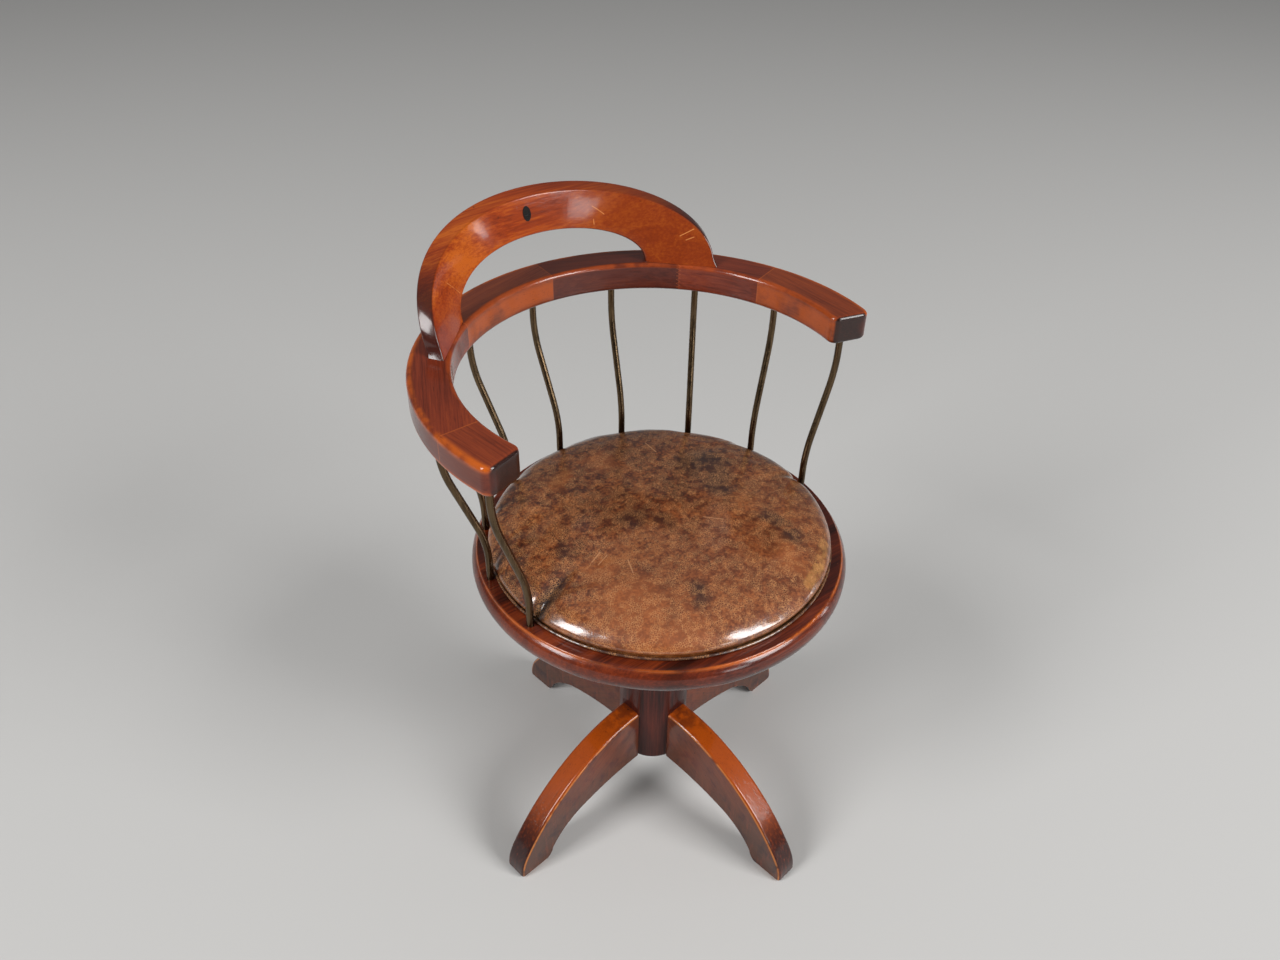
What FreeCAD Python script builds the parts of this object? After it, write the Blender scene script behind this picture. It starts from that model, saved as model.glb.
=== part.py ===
"""Bankers swivel chair: four-legged wooden pedestal, keyed height screw, round
upholstered seat, nine bent rods, horseshoe arm rail and arched crest.

Millimetres. +Z up, the floor at z = 0, the swivel axis on the origin, the sitter
facing -Y. Angles round the seat are counted from the back (+Y) towards -X.
"""
import FreeCAD, Part
import math
import os

from FreeCAD import Placement, Rotation, Vector

doc = FreeCAD.newDocument("bankers_chair")
sheet = doc.addObject("Spreadsheet::Sheet", "sizes")

SIZES = {
    # Pedestal
    "base_turn_angle": 6.5,
    "hub_radius": 44,
    "hub_bottom": 67,
    "hub_top": 250,
    "hub_edge_radius": 5,
    "hub_bead_width": 5,
    "hub_bore_clearance": 0.05,
    "leg_thickness": 30,
    "leg_reach": 242,
    "leg_root_top": 148,
    "leg_shoulder_setback": 100.6,
    "leg_shoulder_drop": 26,
    "leg_shin_setback": 8.8,
    "leg_shin_drop": 112.5,
    "toe_radius": 5,
    "pad_length": 31,
    "heel_rise": 16,
    "heel_run": 14,
    "heel_hollow": 2,
    "leg_arch_setback": 101.6,
    "leg_arch_drop": 14,
    "leg_arris_radius": 4,
    "flat_headroom": 0.5,
    "leg_dowel_radius": 5,
    "leg_dowel_length": 56,
    "leg_dowel_in_hub": 16,
    "leg_dowel_low_height": 23,
    "leg_dowel_high_height": 58,
    "dowel_clearance": 0.05,
    "cut_overrun": 5,
    # Swivel and height screw
    "bush_wall": 4,
    "sleeve_radius": 20,
    "running_clearance": 0.05,
    "thrust_gap": 0.1,
    "hub_plate_radius": 38,
    "hub_plate_thickness": 5,
    "sleeve_flange_radius": 32,
    "sleeve_flange_thickness": 5,
    "sleeve_tail": 16,
    "lock_washer_radius": 31,
    "lock_washer_thickness": 3,
    "lock_nut_radius": 28,
    "lock_nut_height": 10,
    "handwheel_radius": 46,
    "handwheel_rim_height": 12,
    "handwheel_boss_radius": 24,
    "handwheel_boss_height": 22,
    "handwheel_scallop_radius": 14,
    "handwheel_scallop_offset": 52,
    "handwheel_scallops": 6,
    "screw_radius": 15,
    "screw_engagement": 125,
    "key_width": 6,
    "key_height": 3,
    "key_length": 30,
    "key_side_clearance": 0.05,
    # Seat iron
    "iron_arm_length": 128,
    "iron_arm_width": 34,
    "iron_thickness": 6,
    "iron_boss_radius": 25,
    "iron_boss_height": 32,
    "iron_pin_radius": 4,
    "iron_pin_overhang": 3,
    "iron_screw_inner_radius": 62,
    "iron_screw_outer_radius": 112,
    # Seat: widths and laps are counted from the rebate that holds the cushion
    "ring_top": 415.6,
    "ring_height": 32,
    "ring_rebate_radius": 193.5,
    "ring_rebate_depth": 14,
    "ring_land_width": 16,
    "ring_swell_width": 21.5,
    "ring_foot_width": 12,
    "ring_ledge_width": 43.5,
    "ring_arris_drop": 2.5,
    "ring_widest_drop": 13,
    "seat_board_lap": 16,
    "seat_board_thickness": 15,
    "seat_board_clearance": 0.05,
    "cushion_board_clearance": 0.3,
    "cushion_board_thickness": 12,
    "cushion_gap": 0.3,
    "cushion_crown_height": 39,
    "cushion_shoulder_inset": 19.5,
    "cushion_shoulder_height": 26.5,
    "cushion_edge_lap": 1.5,
    "cushion_edge_height": 12.5,
    "cushion_seam_inset": 2.1,
    "cushion_seam_height": 4,
    "welt_offset": 1.3,
    "welt_radius": 1.6,
    # Rods
    "rod_radius": 4,
    "rod_foot_offset": 7.2,
    "rod_foot_step_angle": 24.8,
    "rod_head_offset": 26.8,
    "rod_head_centre": 13,
    "rod_head_step_angle": 25.2,
    "rod_slope_length": 60,
    "rod_straight_foot_length": 25,
    "rod_straight_head_length": 22,
    "rod_socket_depth": 15,
    "rod_socket_spare": 1,
    # Arm rail
    "rail_top": 650.2,
    "rail_thickness": 33.5,
    "rail_inner_radius": 209.2,
    "rail_inner_centre": 14,
    "rail_width": 46,
    "rail_outer_centre": 10.8,
    "rail_end_angle": 106.2,
    "rail_end_radius": 10,
    "rail_arris_radius": 5,
    "rail_spline_inset": 10,
    "rail_spline_length": 16,
    "rail_spline_thickness": 4,
    "rail_spline_height": 17.5,
    "rail_spline_clearance": 0.05,
    # Crest
    "crest_front_step": 6.8,
    "crest_thickness": 17,
    "crest_lean_angle": 14.4,
    "crest_half_angle": 57,
    "crest_back_half_angle": 55,
    "crest_height": 89,
    "crest_back_rise": 5,
    "crest_foot_flare_angle": 1.3,
    "crest_outline_power": 2.04,
    "crest_opening_half_angle": 35,
    "crest_opening_height": 47,
    "crest_opening_power": 2.1,
    "crest_arris_width": 2.5,
    "crest_dowel_radius": 4,
    "crest_dowel_near_angle": 40,
    "crest_dowel_far_angle": 50,
    "crest_dowel_upper_length": 18,
    "crest_dowel_lower_length": 11,
    "plug_height": 71,
    "plug_angle": 0.5,
    "plug_half_width": 5,
    "plug_half_height": 8.5,
    "plug_depth": 6,
    "plug_proud": 0.8,
    # Wood screws
    "wood_screw_radius": 2.5,
    "wood_screw_head_radius": 5,
    "wood_screw_head_depth": 3,
    "wood_screw_bite_length": 12,
}

for row, (alias, value) in enumerate(SIZES.items(), start=1):
    sheet.set("A%d" % row, alias)
    sheet.set("B%d" % row, str(value))
    sheet.setAlias("B%d" % row, alias)
doc.recompute()

RAIL_JOINTS = (90.0, 36.5, -3.5, -46.0, -73.0)
ROD_COUNT = 9
CREST_STATIONS = 14
ON_LINE = 0.01
ON_ANGLE = 0.5
DOWEL_ANGLE = 2.0
LEG_NAMES = ("leg_front", "leg_right", "leg_rear", "leg_left")

nodes = []


def size(alias):
    """The value of one cell of the sheet."""
    return float(sheet.get(alias))


def bind(thing, **formulas):
    """Tie properties of an object to cells; a double underscore stands for a dot."""
    for name, formula in formulas.items():
        thing.setExpression(name.replace("__", "."), formula)
    return thing


def node(thing, label):
    """Name an object as one piece of the chair."""
    thing.Label = label
    nodes.append(thing)
    return thing


def polar(radius, angle, z=0.0, centre=0.0):
    """A point at an angle from the back, round a centre that far behind the axis."""
    turn = math.radians(angle)
    return Vector(-radius * math.sin(turn), centre + radius * math.cos(turn), z)


def at(point, turn=0.0, axis=Vector(0, 0, 1)):
    """A placement at a point, turned by degrees about an axis."""
    return Placement(point, Rotation(axis, turn))


def cylinder(name, radius, height, base="0"):
    """A cylinder on the swivel axis, with radius, height and base level from the sheet."""
    body = doc.addObject("Part::Cylinder", name)
    return bind(body, Radius=radius, Height=height, Placement__Base__z=base)


def pin(name, radius, length, start, direction):
    """A straight cylinder from a start point along a direction."""
    body = doc.addObject("Part::Cylinder", name)
    bind(body, Radius=radius, Height=length)
    body.Placement = Placement(start, Rotation(Vector(0, 0, 1), direction))
    return body


def fuse(name, parts):
    """One solid out of several that touch or overlap."""
    whole = doc.addObject("Part::MultiFuse", name)
    whole.Shapes = parts
    whole.Refine = True
    return whole


def cut(name, base, tools):
    """The base with every tool taken out of it."""
    if len(tools) == 1:
        tool = tools[0]
    else:
        tool = doc.addObject("Part::Compound", name + "_tools")
        tool.Links = tools
    result = doc.addObject("Part::Cut", name + "_cut")
    result.Base = base
    result.Tool = tool
    return result


def group(name, parts):
    """Separate like pieces kept together as one piece."""
    cluster = doc.addObject("Part::Compound", name + "_group")
    cluster.Links = parts
    return cluster


def plane(body, role):
    """One origin plane of a body, found by its role."""
    return [item for item in body.Origin.OriginFeatures if item.Role == role][0]


def outline(body, name, role, edges):
    """A sketch of the given lines and arcs on one of the body's own planes."""
    sketch = body.newObject("Sketcher::SketchObject", name)
    sketch.AttachmentSupport = [(plane(body, role), "")]
    sketch.MapMode = "FlatFace"
    sketch.addGeometry(edges, False)
    return sketch


def line(start, end):
    return Part.LineSegment(start, end)


def arc(start, middle, end):
    return Part.Arc(start, middle, end)


def tangent_arc(start, heading, end):
    """An arc that leaves start at a heading and passes through end, and its last heading."""
    chord = end - start
    deflection = math.atan2(chord.y, chord.x) - heading
    radius = chord.Length / (2 * math.sin(deflection))
    centre = start + Vector(-math.sin(heading), math.cos(heading), 0) * radius
    spoke = start - centre
    cosine = math.cos(deflection)
    sine = math.sin(deflection)
    middle = centre + Vector(spoke.x * cosine - spoke.y * sine, spoke.x * sine + spoke.y * cosine, 0)
    return arc(start, middle, end), heading + 2 * deflection


def corner_rise(radius):
    """How far the middle of a quarter round lies inside each of its tangents."""
    return radius * (1 - math.sqrt(0.5))


def turned(name, edges):
    """A solid turned round the swivel axis from a half section drawn in XZ."""
    body = doc.addObject("PartDesign::Body", name)
    section = outline(body, name + "_section", "XZ_Plane", edges)
    revolve = body.newObject("PartDesign::Revolution", name + "_turning")
    revolve.Profile = section
    revolve.ReferenceAxis = (section, ["V_Axis"])
    revolve.Angle = 360
    body.Tip = revolve
    return body


def screw_solid(name, head, direction, length, clearance=0.0):
    """The screw itself, or with a clearance the hole that it stands in."""
    turn = Rotation(Vector(0, 0, 1), direction)
    cone = doc.addObject("Part::Cone", name + "_head")
    cone.Radius1 = size("wood_screw_head_radius") + clearance
    cone.Radius2 = size("wood_screw_radius") + clearance
    bind(cone, Height="sizes.wood_screw_head_depth")
    cone.Placement = Placement(head, turn)
    shank = doc.addObject("Part::Cylinder", name + "_shank")
    shank.Radius = size("wood_screw_radius") + clearance
    shank.Height = length + clearance
    shank.Placement = Placement(head, turn)
    return fuse(name, [cone, shank])


def screws_and_holes(name, heads, direction, length):
    """A group of screws, and the matching holes to cut from what they hold."""
    clearance = size("dowel_clearance")
    screws = []
    holes = []
    for index, head in enumerate(heads):
        screws.append(screw_solid("%s_%d" % (name, index), head, direction, length))
        holes.append(screw_solid("%s_hole_%d" % (name, index), head, direction, length, clearance))
    return screws, holes


# Levels that several pieces share
hub_top = size("hub_top")
plate_top = hub_top + size("hub_plate_thickness")
flange_bottom = plate_top + size("thrust_gap")
flange_top = flange_bottom + size("sleeve_flange_thickness")
ring_bottom = size("ring_top") - size("ring_height")
ledge_top = size("ring_top") - size("ring_rebate_depth")
board_bottom = ring_bottom - size("seat_board_thickness")
iron_bottom = board_bottom - size("iron_thickness")
rail_bottom = size("rail_top") - size("rail_thickness")
bush_radius = size("sleeve_radius") + size("running_clearance") + size("bush_wall")
rebate = size("ring_rebate_radius")
ring_bore = rebate - size("ring_ledge_width")
rail_outer = size("rail_inner_radius") + size("rail_width")
crest_front = size("rail_inner_radius") + size("crest_front_step")
screw_foot = hub_top - size("screw_engagement")
cushion_base = ledge_top + size("cushion_board_thickness") + size("cushion_gap")
up = Vector(0, 0, 1)


def flat_distance():
    """How far a flat as wide as a leg lies from the axis of the round hub."""
    half = size("leg_thickness") / 2
    return math.sqrt(size("hub_radius") ** 2 - half ** 2)


def leg_angle(index):
    """The direction of a leg in degrees from +X."""
    return size("base_turn_angle") - 90.0 + 90.0 * index


def make_leg_dowels():
    """Two dowels for each leg, and the holes that they stand in."""
    dowels = []
    holes = []
    start = flat_distance() - size("leg_dowel_in_hub")
    spare = size("dowel_clearance")
    for index in range(len(LEG_NAMES)):
        turn = math.radians(leg_angle(index))
        outward = Vector(math.cos(turn), math.sin(turn), 0)
        for level in ("leg_dowel_low_height", "leg_dowel_high_height"):
            name = "%s_%d" % (level, index)
            foot = outward * start + up * (size("hub_bottom") + size(level))
            dowels.append(pin(name, "sizes.leg_dowel_radius", "sizes.leg_dowel_length", foot, outward))
            hole = pin(name + "_hole", "sizes.leg_dowel_radius + sizes.dowel_clearance",
                       "sizes.leg_dowel_length + 2 * sizes.dowel_clearance",
                       foot - outward * spare, outward)
            holes.append(hole)
    return dowels, holes


def make_hub(dowel_holes):
    """The turned column: rounded foot, a bead under the top, four flats for the legs."""
    radius = size("hub_radius")
    bottom = size("hub_bottom")
    edge = size("hub_edge_radius")
    lean = corner_rise(edge)
    bead = size("hub_bead_width")
    bead_foot = hub_top - edge - bead
    points = [
        line(Vector(0, bottom, 0), Vector(radius - edge, bottom, 0)),
        arc(Vector(radius - edge, bottom, 0), Vector(radius - lean, bottom + lean, 0),
            Vector(radius, bottom + edge, 0)),
        line(Vector(radius, bottom + edge, 0), Vector(radius, bead_foot, 0)),
        arc(Vector(radius, bead_foot, 0), Vector(radius - bead / 2, bead_foot + bead / 2, 0),
            Vector(radius, hub_top - edge, 0)),
        arc(Vector(radius, hub_top - edge, 0), Vector(radius - lean, hub_top - lean, 0),
            Vector(radius - edge, hub_top, 0)),
        line(Vector(radius - edge, hub_top, 0), Vector(0, hub_top, 0)),
        line(Vector(0, hub_top, 0), Vector(0, bottom, 0)),
    ]
    column = turned("hub_blank", points)
    tools = [cylinder("hub_bore", "sizes.sleeve_radius + sizes.running_clearance + sizes.bush_wall"
                      " + sizes.hub_bore_clearance", "sizes.hub_top", "sizes.hub_bottom - sizes.cut_overrun")]
    width = size("leg_thickness") + 2 * size("flat_headroom")
    for index in range(len(LEG_NAMES)):
        turn = math.radians(leg_angle(index))
        outward = Vector(math.cos(turn), math.sin(turn), 0)
        side = Vector(-outward.y, outward.x, 0)
        flat = doc.addObject("Part::Box", "flat_%d" % index)
        flat.Length = radius
        flat.Width = width
        bind(flat, Height="sizes.leg_root_top - sizes.hub_bottom + sizes.cut_overrun")
        flat.Placement = Placement(outward * flat_distance() - side * (width / 2)
                                   + up * (bottom - size("cut_overrun")), Rotation(up, leg_angle(index)))
        tools.append(flat)
        tools.append(pin("flat_head_%d" % index, "sizes.leg_thickness / 2 + sizes.flat_headroom",
                         "sizes.hub_radius", outward * flat_distance() + up * size("leg_root_top"),
                         outward))
    return cut("hub_column", column, tools + dowel_holes)


def make_leg(index, dowel_holes):
    """A curved leg: arched top in three arcs, hollow underside, small pad at the toe."""
    root = flat_distance()
    top = size("leg_root_top")
    reach = size("leg_reach")
    toe = size("toe_radius")
    start = Vector(root, top, 0)
    shoulder = Vector(reach - size("leg_shoulder_setback"), top - size("leg_shoulder_drop"), 0)
    shin = Vector(reach - size("leg_shin_setback"), top - size("leg_shin_drop"), 0)
    tip = Vector(reach, toe, 0)
    pad_end = reach - toe
    pad_start = pad_end - size("pad_length")
    heel = Vector(pad_start - size("heel_run"), size("heel_rise"), 0)
    arch = Vector(reach - size("leg_arch_setback"), size("hub_bottom") - size("leg_arch_drop"), 0)
    foot = Vector(root, size("hub_bottom"), 0)
    lean = corner_rise(toe)

    lower, heading = tangent_arc(tip, math.pi / 2, shin)
    middle, heading = tangent_arc(shin, heading, shoulder)
    upper, heading = tangent_arc(shoulder, heading, start)
    hollow, heading = tangent_arc(foot, 0.0, arch)
    throat, heading = tangent_arc(arch, heading, heel)
    heel_middle = (heel + Vector(pad_start, 0, 0)) * 0.5 - Vector(1, 1, 0) * size("heel_hollow")
    edges = [
        lower, middle, upper,
        arc(tip, Vector(reach - lean, lean, 0), Vector(pad_end, 0, 0)),
        line(Vector(pad_end, 0, 0), Vector(pad_start, 0, 0)),
        arc(Vector(pad_start, 0, 0), heel_middle, heel),
        throat, hollow,
        line(foot, start),
    ]
    name = LEG_NAMES[index]
    body = doc.addObject("PartDesign::Body", name + "_blank")
    profile = outline(body, name + "_profile", "XZ_Plane", edges)
    pad = body.newObject("PartDesign::Pad", name + "_pad")
    pad.Profile = profile
    pad.Midplane = True
    bind(pad, Length="sizes.leg_thickness")
    body.Tip = pad
    doc.recompute()
    long_edges = []
    for number, edge in enumerate(pad.Shape.Edges, start=1):
        middle_point = edge.valueAt((edge.FirstParameter + edge.LastParameter) / 2)
        on_side = abs(abs(middle_point.y) - size("leg_thickness") / 2) < ON_LINE
        straight = isinstance(edge.Curve, Part.Line)
        on_top = middle_point.z > size("hub_bottom") or middle_point.x > pad_end
        if on_side and on_top and not straight:
            long_edges.append("Edge%d" % number)
    fillet = body.newObject("PartDesign::Fillet", name + "_arris")
    fillet.Base = (pad, long_edges)
    bind(fillet, Radius="sizes.leg_arris_radius")
    body.Tip = fillet
    body.Placement = at(Vector(0, 0, 0), leg_angle(index))
    return cut(name, body, dowel_holes)


def make_rail_segment(name, start, end, tools):
    """One block of the arm rail between two angles, with its long edges rounded."""
    inner = size("rail_inner_radius")
    outer = rail_outer
    inner_centre = size("rail_inner_centre")
    outer_centre = size("rail_outer_centre")

    def outer_point(angle):
        """Where the spoke at this angle from the inner centre meets the outer circle."""
        turn = math.radians(angle)
        offset = inner_centre - outer_centre
        along = -offset * math.cos(turn)
        reach = along + math.sqrt(along ** 2 + outer ** 2 - offset ** 2)
        return polar(reach, angle, 0, inner_centre)

    middle = (start + end) / 2
    inner_start = polar(inner, start, 0, inner_centre)
    inner_end = polar(inner, end, 0, inner_centre)
    edges = [
        arc(inner_start, polar(inner, middle, 0, inner_centre), inner_end),
        line(inner_end, outer_point(end)),
        arc(outer_point(end), outer_point(middle), outer_point(start)),
        line(outer_point(start), inner_start),
    ]
    body = doc.addObject("PartDesign::Body", name + "_blank")
    profile = outline(body, name + "_plan", "XY_Plane", edges)
    pad = body.newObject("PartDesign::Pad", name + "_pad")
    pad.Profile = profile
    bind(pad, Length="sizes.rail_thickness")
    body.Tip = pad
    doc.recompute()
    base = pad
    for limit, corners in ((start, (inner_start, outer_point(start))), (end, (inner_end, outer_point(end)))):
        if abs(abs(limit) - size("rail_end_angle")) > ON_LINE:
            continue
        uprights = []
        for number, edge in enumerate(base.Shape.Edges, start=1):
            foot = edge.Vertexes[0].Point
            head = edge.Vertexes[-1].Point
            upright = abs(head.z - foot.z) > size("rail_thickness") - ON_LINE
            near = min((Vector(foot.x, foot.y, 0) - corner).Length for corner in corners)
            if upright and near < ON_LINE:
                uprights.append("Edge%d" % number)
        corner_round = body.newObject("PartDesign::Fillet", name + "_corner")
        corner_round.Base = (base, uprights)
        bind(corner_round, Radius="sizes.rail_end_radius")
        body.Tip = corner_round
        doc.recompute()
        base = corner_round
    rims = []
    for number, edge in enumerate(base.Shape.Edges, start=1):
        point = edge.valueAt((edge.FirstParameter + edge.LastParameter) / 2)
        level = min(abs(point.z), abs(point.z - size("rail_thickness"))) < ON_LINE
        straight = isinstance(edge.Curve, Part.Line)
        angle = math.degrees(math.atan2(-point.x, point.y - inner_centre))
        on_end = abs(abs(angle) - size("rail_end_angle")) < ON_ANGLE
        if level and (not straight or on_end):
            rims.append("Edge%d" % number)
    arris = body.newObject("PartDesign::Fillet", name + "_arris")
    arris.Base = (base, rims)
    bind(arris, Radius="sizes.rail_arris_radius")
    body.Tip = arris
    bind(body, Placement__Base__z="sizes.rail_top - sizes.rail_thickness")
    return cut(name, body, tools)


def rod_foot(index):
    """Where the middle of a rod meets the ring's top."""
    return polar(rebate + size("rod_foot_offset"), size("rod_foot_step_angle") * index, size("ring_top"))


def rod_head(index):
    """Where the middle of a rod meets the rail's underside."""
    return polar(size("rail_inner_radius") + size("rod_head_offset"), size("rod_head_step_angle") * index,
                 rail_bottom, size("rod_head_centre"))


def make_rod(name, index):
    """A rod that rises upright from the seat, leans out and ends upright in the rail."""
    foot = rod_foot(index)
    head = rod_head(index)
    socket = size("rod_socket_depth")
    slope = size("rod_slope_length")
    low = size("rod_straight_foot_length")
    rise = head.z - foot.z
    high = rise - size("rod_straight_head_length")
    across = Vector(head.x - foot.x, head.y - foot.y, 0)
    lean = across.Length
    span = high - low
    angle = 2 * math.atan2(lean, span + slope)
    bend = (span - slope * math.cos(angle)) / (2 * math.sin(angle))
    side = bend * (1 - math.cos(angle))
    climb = bend * math.sin(angle)
    half_side = bend * (1 - math.cos(angle / 2))
    half_climb = bend * math.sin(angle / 2)
    path = [
        Vector(0, -socket, 0),
        Vector(0, low, 0),
        Vector(side, low + climb, 0),
        Vector(lean - side, high - climb, 0),
        Vector(lean, high, 0),
        Vector(lean, rise + socket, 0),
    ]
    edges = [
        line(path[0], path[1]),
        arc(path[1], Vector(half_side, low + half_climb, 0), path[2]),
        line(path[2], path[3]),
        arc(path[3], Vector(lean - half_side, high - half_climb, 0), path[4]),
        line(path[4], path[5]),
    ]
    body = doc.addObject("PartDesign::Body", name + "_body")
    spine = outline(body, name + "_path", "XZ_Plane", edges)
    section = outline(body, name + "_section", "XY_Plane",
                      [Part.Circle(Vector(0, 0, 0), Vector(0, 0, 1), size("rod_radius"))])
    section.AttachmentOffset = Placement(Vector(0, 0, -socket), Rotation())
    pipe = body.newObject("PartDesign::AdditivePipe", name + "_pipe")
    pipe.Profile = section
    pipe.Spine = (spine, ["Edge%d" % (number + 1) for number in range(len(edges))])
    body.Tip = pipe
    turn = math.degrees(math.atan2(across.y, across.x))
    body.Placement = at(foot, turn)
    return node(body, name)


def crest_point(angle, height, depth):
    """A point of the crest: round the rail's centre, its front face leaning back."""
    lean = math.tan(math.radians(size("crest_lean_angle")))
    radius = crest_front + height * lean + depth
    return polar(radius, angle, size("rail_top") + height, size("rail_inner_centre"))


def arch(turn, half_angle, height, power):
    """Angle and height of an arch outline at a turn from one foot (0) to the other (pi)."""
    across = math.cos(turn)
    rise = math.sin(turn)
    angle = half_angle * math.copysign(abs(across) ** (2 / power), across)
    return angle, height * abs(rise) ** (2 / power)


def eased(corners, ease):
    """A closed outline with each corner cut off at the same distance along its sides."""
    points = []
    for index, corner in enumerate(corners):
        before = corners[index - 1] - corner
        after = corners[(index + 1) % len(corners)] - corner
        points.append(corner + before * (ease / before.Length))
        points.append(corner + after * (ease / after.Length))
    return Part.makePolygon(points + points[:1])


def make_crest(tools):
    """A thick arched board, curved in plan with the rail and leaning back from it."""
    thickness = size("crest_thickness")
    wires = []
    for station in range(CREST_STATIONS + 1):
        turn = math.pi * station / CREST_STATIONS
        front = arch(turn, size("crest_half_angle"), size("crest_height"), size("crest_outline_power"))
        back = arch(turn, size("crest_back_half_angle"), size("crest_height") + size("crest_back_rise"),
                    size("crest_outline_power"))
        inner = arch(turn, size("crest_opening_half_angle"), size("crest_opening_height"),
                     size("crest_opening_power"))
        flare = 0
        if station in (0, CREST_STATIONS):
            flare = math.copysign(size("crest_foot_flare_angle"), front[0])
            back = (back[0], 0)
        corners = [
            crest_point(front[0] + flare, front[1], 0),
            crest_point(inner[0], inner[1], 0),
            crest_point(inner[0], inner[1], thickness),
            crest_point(back[0] + flare, back[1], thickness),
        ]
        wires.append(eased(corners, size("crest_arris_width")))
    blank = doc.addObject("Part::Feature", "crest_blank")
    blank.Shape = Part.makeLoft(wires, True, False)
    return cut("crest", blank, tools)


def make_plug():
    """An oval plug let into the crest's front face, a hair to the sitter's right of the middle."""
    lean = math.radians(size("crest_lean_angle"))
    inward = Vector(0, math.cos(lean), -math.sin(lean))
    face = crest_point(size("plug_angle"), size("plug_height"), 0)
    turn = Rotation(Vector(0, 0, 1), inward)
    solids = []
    for name, grow in (("plug_solid", 0.0), ("plug_seat", size("dowel_clearance"))):
        half_high = size("plug_half_height") + grow
        half_wide = size("plug_half_width") + grow
        upright = turn.inverted().multVec(Vector(0, math.sin(lean), math.cos(lean)))
        ellipse = Part.Ellipse(Vector(0, 0, 0), half_high, half_wide)
        wire = Part.Wire([ellipse.toShape()])
        spin = math.degrees(math.atan2(upright.y, upright.x))
        wire.rotate(Vector(0, 0, 0), Vector(0, 0, 1), spin)
        solid = Part.Face(wire).extrude(Vector(0, 0, size("plug_depth") + grow))
        feature = doc.addObject("Part::Feature", name)
        feature.Shape = solid
        proud = size("plug_proud") if grow == 0.0 else size("plug_depth")
        if grow:
            feature.Shape = Part.Face(wire).extrude(Vector(0, 0, 2 * size("plug_depth") + grow))
        feature.Placement = Placement(face - inward * proud, turn)
        solids.append(feature)
    return solids


# Pedestal
leg_dowels, leg_dowel_holes = make_leg_dowels()
node(make_hub(leg_dowel_holes), "hub_column")
for index, name in enumerate(LEG_NAMES):
    node(make_leg(index, leg_dowel_holes[2 * index:2 * index + 2]), name)
node(group("leg_dowels", leg_dowels), "leg_dowels")

bush_outer = cylinder("bush_outer", "sizes.sleeve_radius + sizes.running_clearance + sizes.bush_wall",
                      "sizes.hub_top - sizes.hub_bottom", "sizes.hub_bottom")
bush_inner = cylinder("bush_inner", "sizes.sleeve_radius + sizes.running_clearance",
                      "sizes.hub_top", "sizes.hub_bottom - sizes.cut_overrun")
node(cut("hub_bush", bush_outer, [bush_inner]), "hub_bush")

screw_ring = (size("hub_plate_radius") + bush_radius) / 2
plate_heads = [polar(screw_ring, 45 + 90 * i, plate_top) for i in range(4)]
plate_screw_length = size("hub_plate_thickness") + size("wood_screw_bite_length")
plate_screws, plate_holes = screws_and_holes("plate_screw", plate_heads, Vector(0, 0, -1),
                                             plate_screw_length)
plate_blank = cylinder("plate_blank", "sizes.hub_plate_radius", "sizes.hub_plate_thickness",
                       "sizes.hub_top")
plate_bore = cylinder("plate_bore", "sizes.sleeve_radius + sizes.running_clearance",
                      "sizes.hub_top", "sizes.hub_top - sizes.cut_overrun")
node(cut("hub_plate", plate_blank, [plate_bore] + plate_holes), "hub_plate")
node(group("hub_plate_screws", plate_screws), "hub_plate_screws")
hub = nodes[0]
hub.Tool.Links = hub.Tool.Links + plate_holes

# Swivel sleeve, keyed to the screw and held under the hub by a washer and a nut
tail_bottom = "sizes.hub_bottom - sizes.sleeve_tail"
sleeve_tube = cylinder("sleeve_tube", "sizes.sleeve_radius",
                       "sizes.hub_top + sizes.hub_plate_thickness + sizes.thrust_gap"
                       " + sizes.sleeve_flange_thickness - sizes.hub_bottom + sizes.sleeve_tail",
                       tail_bottom)
sleeve_flange = cylinder("sleeve_flange", "sizes.sleeve_flange_radius", "sizes.sleeve_flange_thickness",
                         "sizes.hub_top + sizes.hub_plate_thickness + sizes.thrust_gap")
sleeve_bore = cylinder("sleeve_bore", "sizes.screw_radius + sizes.running_clearance",
                       "2 * sizes.hub_top", "sizes.hub_bottom - sizes.sleeve_tail - sizes.cut_overrun")


def key_block(name, start_x, length_x, width, base_z, height):
    """A block lying along +X from start_x, centred on the XZ plane."""
    block = doc.addObject("Part::Box", name)
    block.Length = length_x
    block.Width = width
    block.Height = height
    block.Placement = at(Vector(start_x, -width / 2, base_z))
    return block


key_base = flange_top - size("key_length")
key_inner = size("screw_radius") - size("key_height")
key_outer = size("screw_radius") + size("key_height")
key_width = size("key_width")
side_gap = size("key_side_clearance")
sleeve_keyseat = key_block("sleeve_keyseat", 0, key_outer, key_width, key_base, size("key_length"))
sleeve_blank = fuse("sleeve_blank", [sleeve_tube, sleeve_flange])
node(cut("swivel_sleeve", sleeve_blank, [sleeve_bore, sleeve_keyseat]), "swivel_sleeve")
node(key_block("sleeve_key_block", key_inner, key_outer - key_inner, key_width, key_base,
               size("key_length")), "sleeve_key")

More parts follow.
